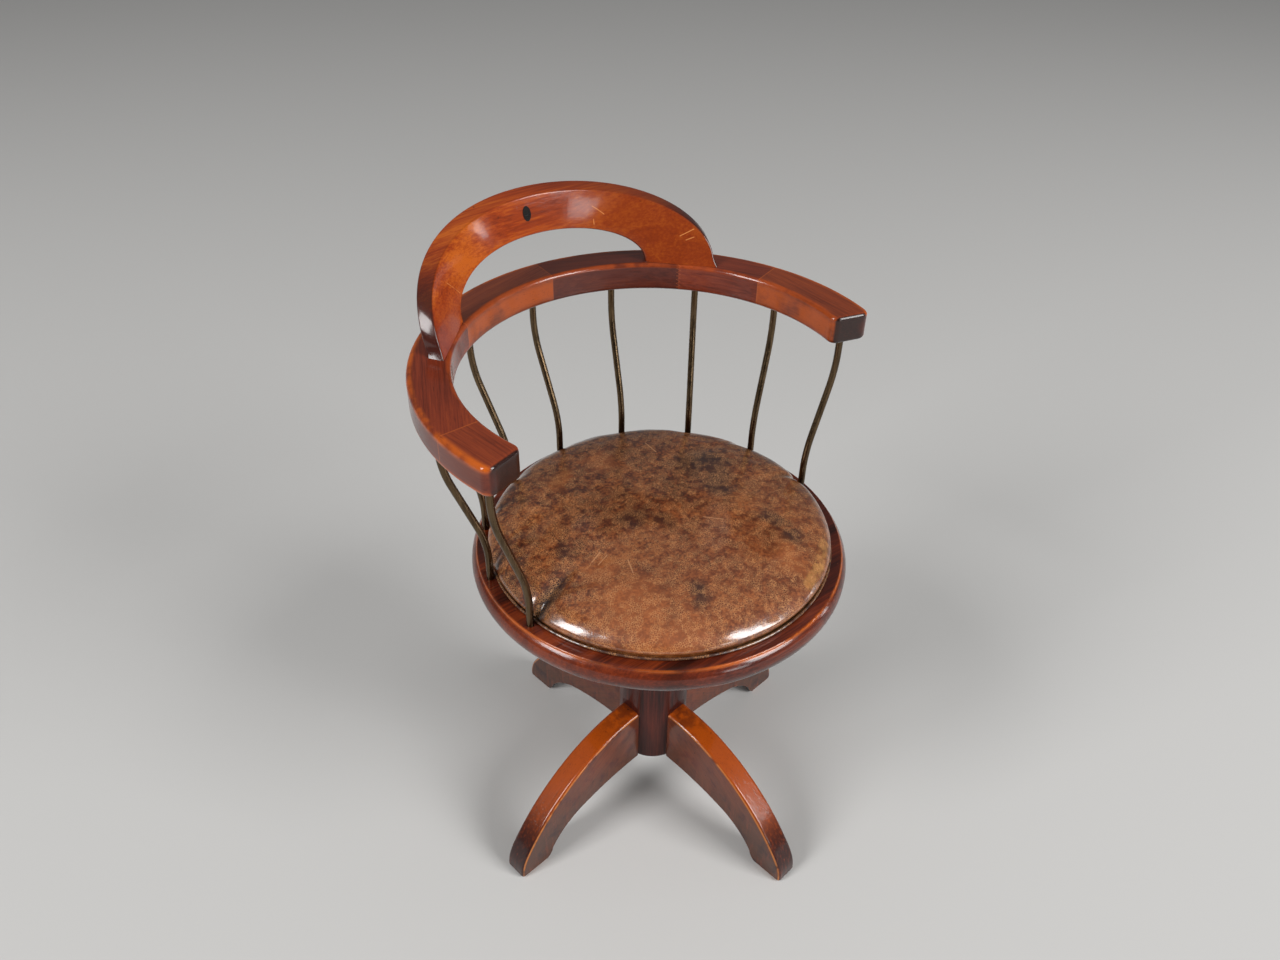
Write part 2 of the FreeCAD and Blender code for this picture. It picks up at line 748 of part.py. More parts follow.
washer_top = size("hub_bottom") - size("thrust_gap")
washer_blank = cylinder("washer_blank", "sizes.lock_washer_radius", "sizes.lock_washer_thickness",
                        "sizes.hub_bottom - sizes.thrust_gap - sizes.lock_washer_thickness")
tail_clearance = cylinder("tail_clearance", "sizes.sleeve_radius + sizes.dowel_clearance",
                          "sizes.hub_top", "0")
node(cut("lock_washer", washer_blank, [tail_clearance]), "lock_washer")
nut_top = washer_top - size("lock_washer_thickness")
nut_body = doc.addObject("Part::Prism", "lock_nut_blank")
bind(nut_body, Circumradius="sizes.lock_nut_radius", Height="sizes.lock_nut_height")
nut_body.Polygon = 6
nut_body.Placement = at(Vector(0, 0, nut_top - size("lock_nut_height")))
nut_clearance = cylinder("nut_clearance", "sizes.sleeve_radius + sizes.dowel_clearance",
                         "sizes.hub_top", "0")
node(cut("lock_nut", nut_body, [nut_clearance]), "lock_nut")

# Height handwheel, a nut on the screw that rests on the sleeve's flange
wheel_bottom = flange_top + size("thrust_gap")
wheel_rim = doc.addObject("Part::Cylinder", "wheel_rim")
bind(wheel_rim, Radius="sizes.handwheel_radius", Height="sizes.handwheel_rim_height")
wheel_rim.Placement = at(Vector(0, 0, wheel_bottom))
wheel_boss = doc.addObject("Part::Cylinder", "wheel_boss")
bind(wheel_boss, Radius="sizes.handwheel_boss_radius", Height="sizes.handwheel_boss_height")
wheel_boss.Placement = at(Vector(0, 0, wheel_bottom))
wheel_tools = [cylinder("wheel_bore", "sizes.screw_radius + sizes.running_clearance", "2 * sizes.hub_top")]
scallops = int(size("handwheel_scallops"))
for index in range(scallops):
    scallop = doc.addObject("Part::Cylinder", "scallop_%d" % index)
    bind(scallop, Radius="sizes.handwheel_scallop_radius", Height="2 * sizes.hub_top")
    scallop.Placement = at(polar(size("handwheel_scallop_offset"), 360 / scallops * index))
    wheel_tools.append(scallop)
node(cut("height_handwheel", fuse("wheel_blank", [wheel_rim, wheel_boss]), wheel_tools), "height_handwheel")

# Height screw with its keyway, and the seat iron pinned to its head
screw_blank = doc.addObject("Part::Cylinder", "screw_blank")
bind(screw_blank, Radius="sizes.screw_radius")
screw_blank.Height = board_bottom - screw_foot
screw_blank.Placement = at(Vector(0, 0, screw_foot))
keyway = key_block("keyway", key_inner - side_gap, key_outer, key_width + 2 * side_gap,
                   screw_foot - size("cut_overrun"),
                   iron_bottom - size("iron_boss_height") - screw_foot + size("cut_overrun"))
pin_level = iron_bottom - size("iron_boss_height") / 2
pin_reach = size("iron_boss_radius") + size("iron_pin_overhang")
pin_start = Vector(0, -pin_reach, pin_level)
pin_length = "2 * (sizes.iron_boss_radius + sizes.iron_pin_overhang)"
iron_pin = pin("iron_pin_body", "sizes.iron_pin_radius", pin_length, pin_start, Vector(0, 1, 0))
iron_pin_hole = pin("iron_pin_hole", "sizes.iron_pin_radius + sizes.dowel_clearance", pin_length,
                    pin_start, Vector(0, 1, 0))
node(cut("height_screw", screw_blank, [keyway, iron_pin_hole]), "height_screw")
node(iron_pin, "iron_pin")

arms = []
for index in range(2):
    arm = doc.addObject("Part::Box", "iron_arm_%d" % index)
    bind(arm, Length="2 * sizes.iron_arm_length", Width="sizes.iron_arm_width", Height="sizes.iron_thickness")
    turn = 45 + 90 * index
    corner = Rotation(up, turn).multVec(Vector(-size("iron_arm_length"), -size("iron_arm_width") / 2, 0))
    arm.Placement = at(corner + up * iron_bottom, turn)
    arms.append(arm)
iron_boss = doc.addObject("Part::Cylinder", "iron_boss")
bind(iron_boss, Radius="sizes.iron_boss_radius", Height="sizes.iron_boss_height + sizes.iron_thickness")
iron_boss.Placement = at(Vector(0, 0, iron_bottom - size("iron_boss_height")))
iron_bore = doc.addObject("Part::Cylinder", "iron_bore")
bind(iron_bore, Radius="sizes.screw_radius + sizes.dowel_clearance", Height="sizes.hub_top")
iron_bore.Placement = at(Vector(0, 0, iron_bottom - size("iron_boss_height") - size("cut_overrun")))
iron_heads = []
for index in range(4):
    for reach in ("iron_screw_inner_radius", "iron_screw_outer_radius"):
        iron_heads.append(polar(size(reach), 45 + 90 * index, iron_bottom))
iron_screws, iron_holes = screws_and_holes("iron_screw", iron_heads, up,
                                           size("iron_thickness") + size("wood_screw_bite_length"))
node(cut("seat_iron", fuse("iron_blank", arms + [iron_boss]), [iron_bore, iron_pin_hole] + iron_holes),
     "seat_iron")
node(group("seat_iron_screws", iron_screws), "seat_iron_screws")

# Seat board, screwed up into the ring's ledge
ring_screw_radius = ring_bore + size("seat_board_lap") / 2
ring_heads = [polar(ring_screw_radius, 60 * i, board_bottom) for i in range(6)]
ring_screws, ring_holes = screws_and_holes("ring_screw", ring_heads, up,
                                           size("seat_board_thickness") + size("wood_screw_bite_length"))
board_blank = doc.addObject("Part::Cylinder", "board_blank")
bind(board_blank, Radius="sizes.ring_rebate_radius - sizes.ring_ledge_width + sizes.seat_board_lap",
     Height="sizes.seat_board_thickness",
     Placement__Base__z="sizes.ring_top - sizes.ring_height - sizes.seat_board_thickness")
board_middle = cylinder("board_middle",
                        "sizes.ring_rebate_radius - sizes.ring_ledge_width - sizes.seat_board_clearance",
                        "sizes.seat_board_thickness + sizes.ring_height - sizes.ring_rebate_depth",
                        "sizes.ring_top - sizes.ring_height - sizes.seat_board_thickness")
node(cut("seat_board", fuse("board_steps", [board_blank, board_middle]), iron_holes + ring_holes),
     "seat_board")
node(group("seat_ring_screws", ring_screws), "seat_ring_screws")


def make_seat_ring(tools):
    """The turned ring: flat top, eased arris, swelling side, rebate for the cushion."""
    top = size("ring_top")
    drop = size("ring_arris_drop")
    land = rebate + size("ring_land_width")
    arris = Vector(land, top - drop, 0)
    shelf = Vector(land - drop, top, 0)
    crown = Vector(land - corner_rise(drop), top - corner_rise(drop), 0)
    widest = Vector(rebate + size("ring_swell_width"), top - size("ring_widest_drop"), 0)
    foot = Vector(rebate + size("ring_foot_width"), ring_bottom, 0)
    edges = [
        line(Vector(ring_bore, ring_bottom, 0), foot),
        arc(foot, widest, arris),
        arc(arris, crown, shelf),
        line(shelf, Vector(rebate, top, 0)),
        line(Vector(rebate, top, 0), Vector(rebate, ledge_top, 0)),
        line(Vector(rebate, ledge_top, 0), Vector(ring_bore, ledge_top, 0)),
        line(Vector(ring_bore, ledge_top, 0), Vector(ring_bore, ring_bottom, 0)),
    ]
    return cut("seat_ring", turned("ring_blank", edges), tools)


def rod_sockets(name, index):
    """The two sockets of one rod: in the ring's top and in the rail's underside."""
    depth = "sizes.rod_socket_depth + sizes.rod_socket_spare"
    radius = "sizes.rod_radius + sizes.dowel_clearance"
    drop = up * (size("rod_socket_depth") + size("rod_socket_spare"))
    low = pin(name + "_low_socket", radius, depth, rod_foot(index) - drop, up)
    high = pin(name + "_high_socket", radius, depth, rod_head(index), up)
    return low, high


low_sockets = []
high_sockets = []
for number in range(1, ROD_COUNT + 1):
    index = number - (ROD_COUNT + 1) // 2
    low_socket, high_socket = rod_sockets("rod_%d" % number, index)
    low_sockets.append(low_socket)
    high_sockets.append((size("rod_head_step_angle") * index, high_socket))
node(make_seat_ring(ring_holes + low_sockets), "seat_ring")

# Upholstered drop-in seat
cushion_board = doc.addObject("Part::Cylinder", "cushion_board_body")
bind(cushion_board, Radius="sizes.ring_rebate_radius - sizes.cushion_board_clearance",
     Height="sizes.cushion_board_thickness",
     Placement__Base__z="sizes.ring_top - sizes.ring_rebate_depth")
node(cushion_board, "cushion_board")


def make_cushion():
    """A crowned round pad: domed top, rolled edge, sides drawn in to the welt."""
    top = size("ring_top")
    crown = Vector(0, top + size("cushion_crown_height"), 0)
    shoulder = Vector(rebate - size("cushion_shoulder_inset"), top + size("cushion_shoulder_height"), 0)
    edge = Vector(rebate + size("cushion_edge_lap"), top + size("cushion_edge_height"), 0)
    seam = Vector(rebate - size("cushion_seam_inset"), top + size("cushion_seam_height"), 0)
    hem = Vector(seam.x, cushion_base, 0)
    dome, heading = tangent_arc(crown, 0.0, shoulder)
    roll, heading = tangent_arc(shoulder, heading, edge)
    tuck, heading = tangent_arc(edge, heading, seam)
    edges = [
        dome, roll, tuck,
        line(seam, hem),
        line(hem, Vector(0, cushion_base, 0)),
        line(Vector(0, cushion_base, 0), crown),
    ]
    return turned("cushion_body", edges)


node(make_cushion(), "cushion")
welt = doc.addObject("Part::Torus", "welt_body")
bind(welt, Radius1="sizes.ring_rebate_radius + sizes.welt_offset", Radius2="sizes.welt_radius",
     Placement__Base__z="sizes.ring_top + sizes.cushion_gap + sizes.welt_radius")
node(welt, "cushion_welt")

# Nine bent rods
for number in range(1, ROD_COUNT + 1):
    make_rod("rod_%d" % number, number - (ROD_COUNT + 1) // 2)

# Crest dowels stand in the rail's top and the crest's feet
crest_dowels = []
crest_dowel_holes = []
dowel_lean = math.tan(math.radians(size("crest_lean_angle"))) * size("crest_dowel_upper_length") / 2
dowel_ring = crest_front + size("crest_thickness") / 2 + dowel_lean
for side in (-1, 1):
    for alias in ("crest_dowel_near_angle", "crest_dowel_far_angle"):
        foot = polar(dowel_ring, side * size(alias), size("rail_top") - size("crest_dowel_lower_length"),
                     size("rail_inner_centre"))
        name = "%s_%d" % (alias, side + 1)
        crest_dowels.append(pin(name, "sizes.crest_dowel_radius",
                                "sizes.crest_dowel_upper_length + sizes.crest_dowel_lower_length", foot, up))
        hole = pin(name + "_hole", "sizes.crest_dowel_radius + sizes.dowel_clearance",
                   "sizes.crest_dowel_upper_length + sizes.crest_dowel_lower_length"
                   " + 2 * sizes.dowel_clearance",
                   foot - up * size("dowel_clearance"), up)
        crest_dowel_holes.append((side * size(alias), hole))

# A loose tongue, or spline, crosses each joint of the rail
def make_rail_spline(name, joint, grow):
    """A flat tongue across a joint of the rail, or with some growth its slot."""
    length = size("rail_spline_length") + 2 * grow
    width = size("rail_width") - 2 * size("rail_spline_inset") + 2 * grow
    height = size("rail_spline_thickness") + 2 * grow
    middle = (size("rail_inner_radius") + rail_outer) / 2
    centre = (size("rail_inner_centre") + size("rail_outer_centre")) / 2
    point = polar(middle, joint, rail_bottom + size("rail_spline_height") - grow, centre)
    tongue = doc.addObject("Part::Box", name)
    tongue.Length = length
    tongue.Width = width
    tongue.Height = height
    corner = Rotation(up, joint).multVec(Vector(-length / 2, -width / 2, 0))
    tongue.Placement = at(point + corner, joint)
    return tongue


rail_splines = []
rail_slots = []
for index, joint in enumerate(RAIL_JOINTS):
    rail_splines.append(make_rail_spline("rail_spline_%d" % index, joint, 0))
    rail_slots.append((joint, make_rail_spline("rail_slot_%d" % index, joint, size("rail_spline_clearance"))))

# Six blocks make the rail
limits = (size("rail_end_angle"),) + RAIL_JOINTS + (-size("rail_end_angle"),)
RAIL_NAMES = ("rail_right_end", "rail_right_shoulder", "rail_right_back",
              "rail_left_back", "rail_left_shoulder", "rail_left_arm")
for index, name in enumerate(RAIL_NAMES):
    start = limits[index + 1]
    end = limits[index]
    tools = [socket for angle, socket in high_sockets if start < angle < end]
    tools += [hole for angle, hole in crest_dowel_holes if start - DOWEL_ANGLE < angle < end + DOWEL_ANGLE]
    tools += [slot for angle, slot in rail_slots if angle in (start, end)]
    node(make_rail_segment(name, start, end, tools), name)
node(group("rail_splines", rail_splines), "rail_splines")

# Crest with its plug
plug, plug_seat = make_plug()
crest_holes = [hole for angle, hole in crest_dowel_holes]
node(make_crest(crest_holes + [plug_seat]), "crest")
node(group("crest_dowels", crest_dowels), "crest_dowels")
node(plug, "crest_plug")

doc.recompute()
faulty = [thing.Name for thing in doc.Objects if "Invalid" in thing.State or "Error" in thing.State]
if faulty:
    raise RuntimeError("failed objects: %s" % ", ".join(faulty))
for thing in nodes:
    if thing.Shape.isNull() or not thing.Shape.isValid():
        raise RuntimeError("no valid shape: %s" % thing.Label)

os.makedirs("parts", exist_ok=True)
for thing in nodes:
    thing.Shape.exportStep("parts/%s.step" % thing.Label)
    print("%-22s %2d solid(s) %12.1f mm3" % (thing.Label, len(thing.Shape.Solids), thing.Shape.Volume))
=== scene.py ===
# %% [markdown]
# # A bankers swivel chair, finished in Blender
# The construction model already says where every piece is. This lesson gives each
# piece its surface: old varnished mahogany, a leather seat worn by use, bronze rods
# and dark ironwork. The seat, its welt and the arched crest are modelled again as
# finer surfaces, because soft leather and hand-eased wood need more than the plain
# solids. The fixed frame is loaded first, and nothing in it is ever moved.

# %% Load the frame
import math

import bpy
import numpy as np
from mathutils import Matrix, Vector


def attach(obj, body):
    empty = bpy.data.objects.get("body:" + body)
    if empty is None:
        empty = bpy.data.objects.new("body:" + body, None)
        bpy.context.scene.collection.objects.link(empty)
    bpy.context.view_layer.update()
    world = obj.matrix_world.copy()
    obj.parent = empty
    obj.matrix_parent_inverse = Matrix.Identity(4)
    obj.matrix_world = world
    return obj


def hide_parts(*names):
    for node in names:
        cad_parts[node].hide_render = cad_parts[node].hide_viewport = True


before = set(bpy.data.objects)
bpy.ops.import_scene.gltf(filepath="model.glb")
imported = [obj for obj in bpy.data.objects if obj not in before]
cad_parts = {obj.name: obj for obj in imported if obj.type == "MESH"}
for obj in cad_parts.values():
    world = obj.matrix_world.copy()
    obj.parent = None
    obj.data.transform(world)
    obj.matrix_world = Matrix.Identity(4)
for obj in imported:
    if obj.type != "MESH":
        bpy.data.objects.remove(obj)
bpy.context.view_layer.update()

# %% [markdown]
# ## Camera
# A tall view from about eye height, looking down at the seat. The chair's own axes
# stay as they are, and the camera stands off its front right corner. A lens is given
# in millimetres for a sensor 36 mm wide, so a view whose far plane is 1025 pixels
# away in a picture 1280 pixels wide needs a lens of 36 times 1025 over 1280.

# %% Camera
TURN = math.radians(-40.40)
PAN, PITCH, ROLL = -0.02594, 0.6458, 0.02185
EYE_BACK, EYE_UP = 0.9076, 1.178

to_chair = Matrix.Rotation(TURN, 3, "Z")
ahead = Vector((math.sin(PAN) * math.cos(PITCH), math.cos(PAN) * math.cos(PITCH), -math.sin(PITCH)))
right = Vector((math.cos(PAN), -math.sin(PAN), 0.0))
above = right.cross(ahead)
rolled_right = right * math.cos(ROLL) + above * math.sin(ROLL)
rolled_above = above * math.cos(ROLL) - right * math.sin(ROLL)
axes = Matrix([to_chair @ rolled_right, to_chair @ rolled_above, -(to_chair @ ahead)]).transposed()

lens = bpy.data.cameras.new("eye")
lens.sensor_width = 36.0
lens.lens = 36.0 * 1025.0 / 1280.0
camera = bpy.data.objects.new("eye", lens)
bpy.context.scene.collection.objects.link(camera)
camera.matrix_world = Matrix.Translation(to_chair @ Vector((0.0, -EYE_BACK, EYE_UP))) @ axes.to_4x4()
bpy.context.scene.camera = camera
print("camera at", tuple(round(v, 3) for v in camera.location), "lens", round(lens.lens, 2), "mm")

# %% [markdown]
# ## Small helpers for shaders
# A material is a tree of nodes. These helpers add one node each and join it up, so
# that a finish reads as a few lines of arithmetic on masks that run from 0 to 1.

# %% Shader helpers
def add(tree, kind, inputs=None, **settings):
    """A shader node whose settings are attributes and whose inputs are values or sockets."""
    made = tree.nodes.new(kind)
    for key, value in settings.items():
        setattr(made, key, value)
    for key, value in (inputs or {}).items():
        if isinstance(value, bpy.types.NodeSocket):
            tree.links.new(value, made.inputs[key])
        else:
            made.inputs[key].default_value = value
    return made


def srgb(red, green, blue):
    """A colour written as 0 to 255 on screen, turned into the linear light that shaders use."""
    def linear(v):
        v = min(v, 255.0) / 255.0
        return v / 12.92 if v <= 0.04045 else ((v + 0.055) / 1.055) ** 2.4
    return (linear(red), linear(green), linear(blue), 1.0)


def blank_material(name):
    """An empty node tree with an output and one principled shader."""
    material = bpy.data.materials.new(name)
    material.use_nodes = True
    tree = material.node_tree
    tree.nodes.clear()
    shader = add(tree, "ShaderNodeBsdfPrincipled")
    add(tree, "ShaderNodeOutputMaterial", {"Surface": shader.outputs[0]})
    return material, tree, shader


def smooth(tree, value, low, high):
    """0 at low and 1 at high, with an eased step between them; high may be the smaller."""
    return add(tree, "ShaderNodeMapRange", {"Value": value, "From Min": low, "From Max": high},
               interpolation_type="SMOOTHSTEP").outputs["Result"]


def maths(tree, operation, first, second=0.0):
    """One step of arithmetic on two numbers or sockets."""
    return add(tree, "ShaderNodeMath", {0: first, 1: second}, operation=operation).outputs[0]


def weighted(tree, *terms):
    """The sum of numbers, each given with its weight."""
    whole = 0.0
    for value, weight in terms:
        whole = add(tree, "ShaderNodeMath", {0: value, 1: weight, 2: whole},
                    operation="MULTIPLY_ADD").outputs[0]
    return whole


def hypotenuse(tree, first, second):
    """The long side of a right triangle, from its two short sides."""
    squares = weighted(tree, (maths(tree, "MULTIPLY", first, first), 1.0),
                       (maths(tree, "MULTIPLY", second, second), 1.0))
    return maths(tree, "SQRT", squares)


def vector_maths(tree, operation, first, second, output="Vector"):
    """One step of arithmetic on vectors; a distance or a dot product is the output "Value"."""
    other = "Scale" if operation == "SCALE" else 1
    return add(tree, "ShaderNodeVectorMath", {0: first, other: second},
               operation=operation).outputs[output]


def product(tree, *masks):
    """Masks multiplied together."""
    whole = masks[0]
    for mask in masks[1:]:
        whole = maths(tree, "MULTIPLY", whole, mask)
    return whole


def blend(tree, factor, first, second):
    """Two colours mixed by a factor."""
    return add(tree, "ShaderNodeMix", {0: factor, 6: first, 7: second}, data_type="RGBA").outputs[2]


def overlay(tree, colour, mask, tint, strength):
    """A colour with another laid over it where the mask is, up to a strength."""
    return blend(tree, maths(tree, "MULTIPLY", mask, strength), colour, tint)


def ramp(tree, value, stops):
    """Colours along a number, as (position, colour) pairs."""
    made = add(tree, "ShaderNodeValToRGB", {"Fac": value})
    elements = made.color_ramp.elements
    while len(elements) < len(stops):
        elements.new(0.5)
    for element, (position, colour) in zip(elements, stops):
        element.position = position
        element.color = colour
    return made.outputs["Color"]


def noise(tree, vector, scale, detail=3.0, roughness=0.55, distortion=0.0):
    """A fractal noise from 0 to 1."""
    return add(tree, "ShaderNodeTexNoise",
               {"Vector": vector, "Scale": scale, "Detail": detail, "Roughness": roughness,
                "Distortion": distortion}).outputs["Fac"]


def scaled(tree, vector, factors):
    """Coordinates stretched by a factor on each axis."""
    return add(tree, "ShaderNodeMapping", {"Vector": vector, "Scale": factors}).outputs[0]


def turned(tree, vector, *turns):
    """Coordinates turned about X, Y and Z, once for each triple of angles."""
    for angles in turns:
        vector = add(tree, "ShaderNodeMapping", {"Vector": vector, "Rotation": angles}).outputs[0]
    return vector


def object_place(tree):
    """The piece's own coordinates in metres, which are also the chair's."""
    return add(tree, "ShaderNodeTexCoord").outputs["Object"]


def split(tree, vector):
    """The X, Y and Z of a vector."""
    return add(tree, "ShaderNodeSeparateXYZ", {"Vector": vector}).outputs


def stroke(tree, place, start, end, width):
    """1 on a thin line between two points: the distance to the nearest point of the segment."""
    along = Vector(end) - Vector(start)
    per_length = tuple(along / along.length_squared)
    offset = vector_maths(tree, "SUBTRACT", place, start)
    share = vector_maths(tree, "DOT_PRODUCT", offset, per_length, output="Value")
    share = add(tree, "ShaderNodeClamp", {"Value": share}).outputs[0]
    nearest = vector_maths(tree, "SCALE", tuple(along), share)
    gap = vector_maths(tree, "DISTANCE", offset, nearest, output="Value")
    return smooth(tree, gap, width, 0.4 * width)


# %% [markdown]
# ## Floor and light
# The chair stands on one plain pale sheet that is larger than the view. Varnish is
# only seen by what it mirrors, so the light comes from soft boxes with clear edges:
# one on each side, a little behind the eye, with a dim sky for the rest. Each box is
# placed by the direction in which its mirror image has to appear, as an azimuth
# counted clockwise from straight ahead and a height above the horizon. They stand far
# off, so that the floor is lit evenly. Two small weak ones near the horizon are there
# only for the sheen on the upright face of the crest.

# %% Floor
FLOOR_HALF = 6.0
floor_mesh = bpy.data.meshes.new("floor")
floor_mesh.from_pydata([(-FLOOR_HALF, -FLOOR_HALF, 0), (FLOOR_HALF, -FLOOR_HALF, 0),
                        (FLOOR_HALF, FLOOR_HALF, 0), (-FLOOR_HALF, FLOOR_HALF, 0)], [], [(0, 1, 2, 3)])
floor = bpy.data.objects.new("floor", floor_mesh)
bpy.context.scene.collection.objects.link(floor)
floor_material, tree, shader = blank_material("pale_floor")
shader.inputs["Base Color"].default_value = srgb(200, 199, 197)
shader.inputs["Roughness"].default_value = 0.85
shader.inputs["Specular IOR Level"].default_value = 0.2
floor_mesh.materials.append(floor_material)


# %% Lights
AIM = Vector((0.0, 0.0, 0.45))


def soft_box(name, azimuth, height, distance, width, tall, power):
    """A rectangular light that faces the chair from an azimuth and a height, in degrees."""
    turn, climb = math.radians(azimuth), math.radians(height)
    level = Vector((math.sin(turn), math.cos(turn), 0.0)) * math.cos(climb)
    away = to_chair @ (level + Vector((0.0, 0.0, math.sin(climb))))
    data = bpy.data.lights.new(name, "AREA")
    data.shape = "RECTANGLE"
    data.size, data.size_y, data.energy = width, tall, power
    lamp = bpy.data.objects.new(name, data)
    bpy.context.scene.collection.objects.link(lamp)
    lamp.location = AIM + away * distance
    lamp.rotation_euler = (-away).to_track_quat("-Z", "Y").to_euler()
    return lamp


def grey(level):
    """A grey of a given strength in linear light."""
    return (level, level, level, 1.0)


world = bpy.data.worlds.new("studio")
world.use_nodes = True
tree = world.node_tree
upwards = split(tree, add(tree, "ShaderNodeTexCoord").outputs["Generated"])["Z"]
sky = ramp(tree, upwards, [(0.0, grey(0.12)), (0.5, grey(0.13)), (1.0, grey(0.28))])
tree.links.new(sky, tree.nodes["Background"].inputs["Color"])
bpy.context.scene.world = world
bpy.context.scene.view_settings.view_transform = "Standard"

soft_box("right_box", 116, 30, 6.0, 2.6, 3.0, 315)
soft_box("left_box", -125, 33, 6.0, 1.7, 3.3, 255)
soft_box("low_box", 138, 9, 6.0, 1.3, 1.1, 26)
soft_box("side_strip", 80, 4, 5.0, 0.3, 0.7, 7)

# %% [markdown]
# ## Varnished mahogany
# Every wooden piece was stained, then varnished. The grain is a noise stretched along
# the plank: a broad figure, fine streaks, and short dark pores. Over it lie marks,
# each a mask with its own colour, for rubbed edges, glue lines and scratches. A clear
# coat gives the gloss, with a faint waviness that bends what it mirrors.

# %% Varnish recipe
def varnish(name, deep, body, glow, grain=(), marks=(), gloss=0.13, coat=0.85):
    """Stained timber in three tones: the grain runs along X after the turns given as grain."""
    material, tree, shader = blank_material(name)
    place = object_place(tree)
    plank = turned(tree, place, *grain)
    figure = noise(tree, scaled(tree, plank, (3.0, 38.0, 38.0)), 1.0, 4.0, 0.55, 0.7)
    streak = noise(tree, scaled(tree, plank, (14.0, 420.0, 420.0)), 1.0, 3.0, 0.6)
    pores = smooth(tree, noise(tree, scaled(tree, plank, (70.0, 1500.0, 1500.0)), 1.0, 1.0), 0.60, 0.72)
    cloud = noise(tree, place, 7.0, 2.0)
    tone = weighted(tree, (figure, 0.42), (streak, 0.34), (cloud, 0.24))
    colour = ramp(tree, tone, [(0.39, deep), (0.5, body), (0.61, glow)])
    for mask, tint, strength in marks:
        colour = overlay(tree, colour, mask(tree, place), tint, strength)
    colour = overlay(tree, colour, pores, deep, 0.5)
    tree.links.new(colour, shader.inputs["Base Color"])
    smudge = noise(tree, place, 22.0, 4.0, 0.6)
    rough = add(tree, "ShaderNodeMapRange", {"Value": smudge, "From Min": 0.3, "From Max": 0.7,
                                             "To Min": 0.30, "To Max": 0.5}).outputs["Result"]
    tree.links.new(rough, shader.inputs["Roughness"])
    relief = weighted(tree, (noise(tree, place, 45.0, 2.0), 1.0), (streak, 0.10), (pores, -0.08))
    bump = add(tree, "ShaderNodeBump", {"Height": relief, "Strength": 0.35, "Distance": 0.0006}).outputs[0]
    tree.links.new(bump, shader.inputs["Normal"])
    tree.links.new(bump, shader.inputs["Coat Normal"])
    shader.inputs["Specular IOR Level"].default_value = 0.08
    shader.inputs["Coat Weight"].default_value = coat
    shader.inputs["Coat Roughness"].default_value = gloss
    shader.inputs["Coat IOR"].default_value = 1.5
    return material


def paint(names, material):
    """Give one finish to several pieces of the frame."""
    for name in names:
        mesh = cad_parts[name].data
        mesh.materials.clear()
        mesh.materials.append(material)


# %% [markdown]
# ## Where wear shows
# Rubbing takes the stain off edges first. An edge mask measures how far a point is
# from a round edge, in the plane of radius and height, and noise breaks it up.

# %% Masks for wear
def patchy(tree, place, mask, scale=30.0):
    """A mask broken up by noise, as rubbing leaves it."""
    return product(tree, mask, smooth(tree, noise(tree, place, scale, 3.0), 0.3, 0.55))


def ring_distance(tree, place, centre_y):
    """How far a point is from an upright axis that stands a little behind the swivel."""
    parts = split(tree, place)
    return hypotenuse(tree, parts["X"], maths(tree, "SUBTRACT", parts["Y"], centre_y))


def edge_mask(centre_y, radius, level, width, ragged=30.0):
    """1 within a width of a circular edge; ragged is the scale of the noise that breaks it up."""
    def mask(tree, place):
        out = maths(tree, "SUBTRACT", ring_distance(tree, place, centre_y), radius)
        up = maths(tree, "SUBTRACT", split(tree, place)["Z"], level)
        gap = hypotenuse(tree, out, up)
        return patchy(tree, place, smooth(tree, gap, width, 0.3 * width), ragged)
    return mask


# %% [markdown]
# ## Arm rail
# The rail is glued up from six sawn blocks. Each has its own board's tone, and its
# grain runs straight along the middle of the block, so it changes direction at every
# joint. Hands have rubbed the edges to orange, the upper outer one most, while the
# outer face and the end grain of the arms stayed dark. On two blocks the inner face is
# painted orange as light falling on it. Glue lines show as thin lines, and one joint
# is a comb of short fingers.

# %% Rail finish
RAIL_TOP, RAIL_THICK = 0.6502, 0.0335
RAIL_INNER, RAIL_INNER_CENTRE = 0.2092, 0.0140
RAIL_OUTER, RAIL_OUTER_CENTRE = 0.2552, 0.0108
RAIL_END_ANGLE, END_GRAIN_DEPTH = 106.2, 0.0032
FINGER_JOINT, FINGER_PITCH = -46.0, 0.0024


def glue_line(angle, fingers=0.0, width=0.0008):
    """A thin line where two blocks meet, at an angle from the back; fingers zigzag it with height."""
    turn = math.radians(angle)

    def mask(tree, place):
        parts = split(tree, place)
        behind = maths(tree, "SUBTRACT", parts["Y"], RAIL_INNER_CENTRE)
        across = maths(tree, "ADD", maths(tree, "MULTIPLY", parts["X"], math.cos(turn)),
                       maths(tree, "MULTIPLY", behind, math.sin(turn)))
        if fingers:
            wave = maths(tree, "PINGPONG", parts["Z"], FINGER_PITCH)
            wave = maths(tree, "MULTIPLY", maths(tree, "SUBTRACT", wave, FINGER_PITCH / 2), fingers)
            across = maths(tree, "ADD", across, wave)
        return smooth(tree, maths(tree, "ABSOLUTE", across), width, 0.4 * width)
    return mask


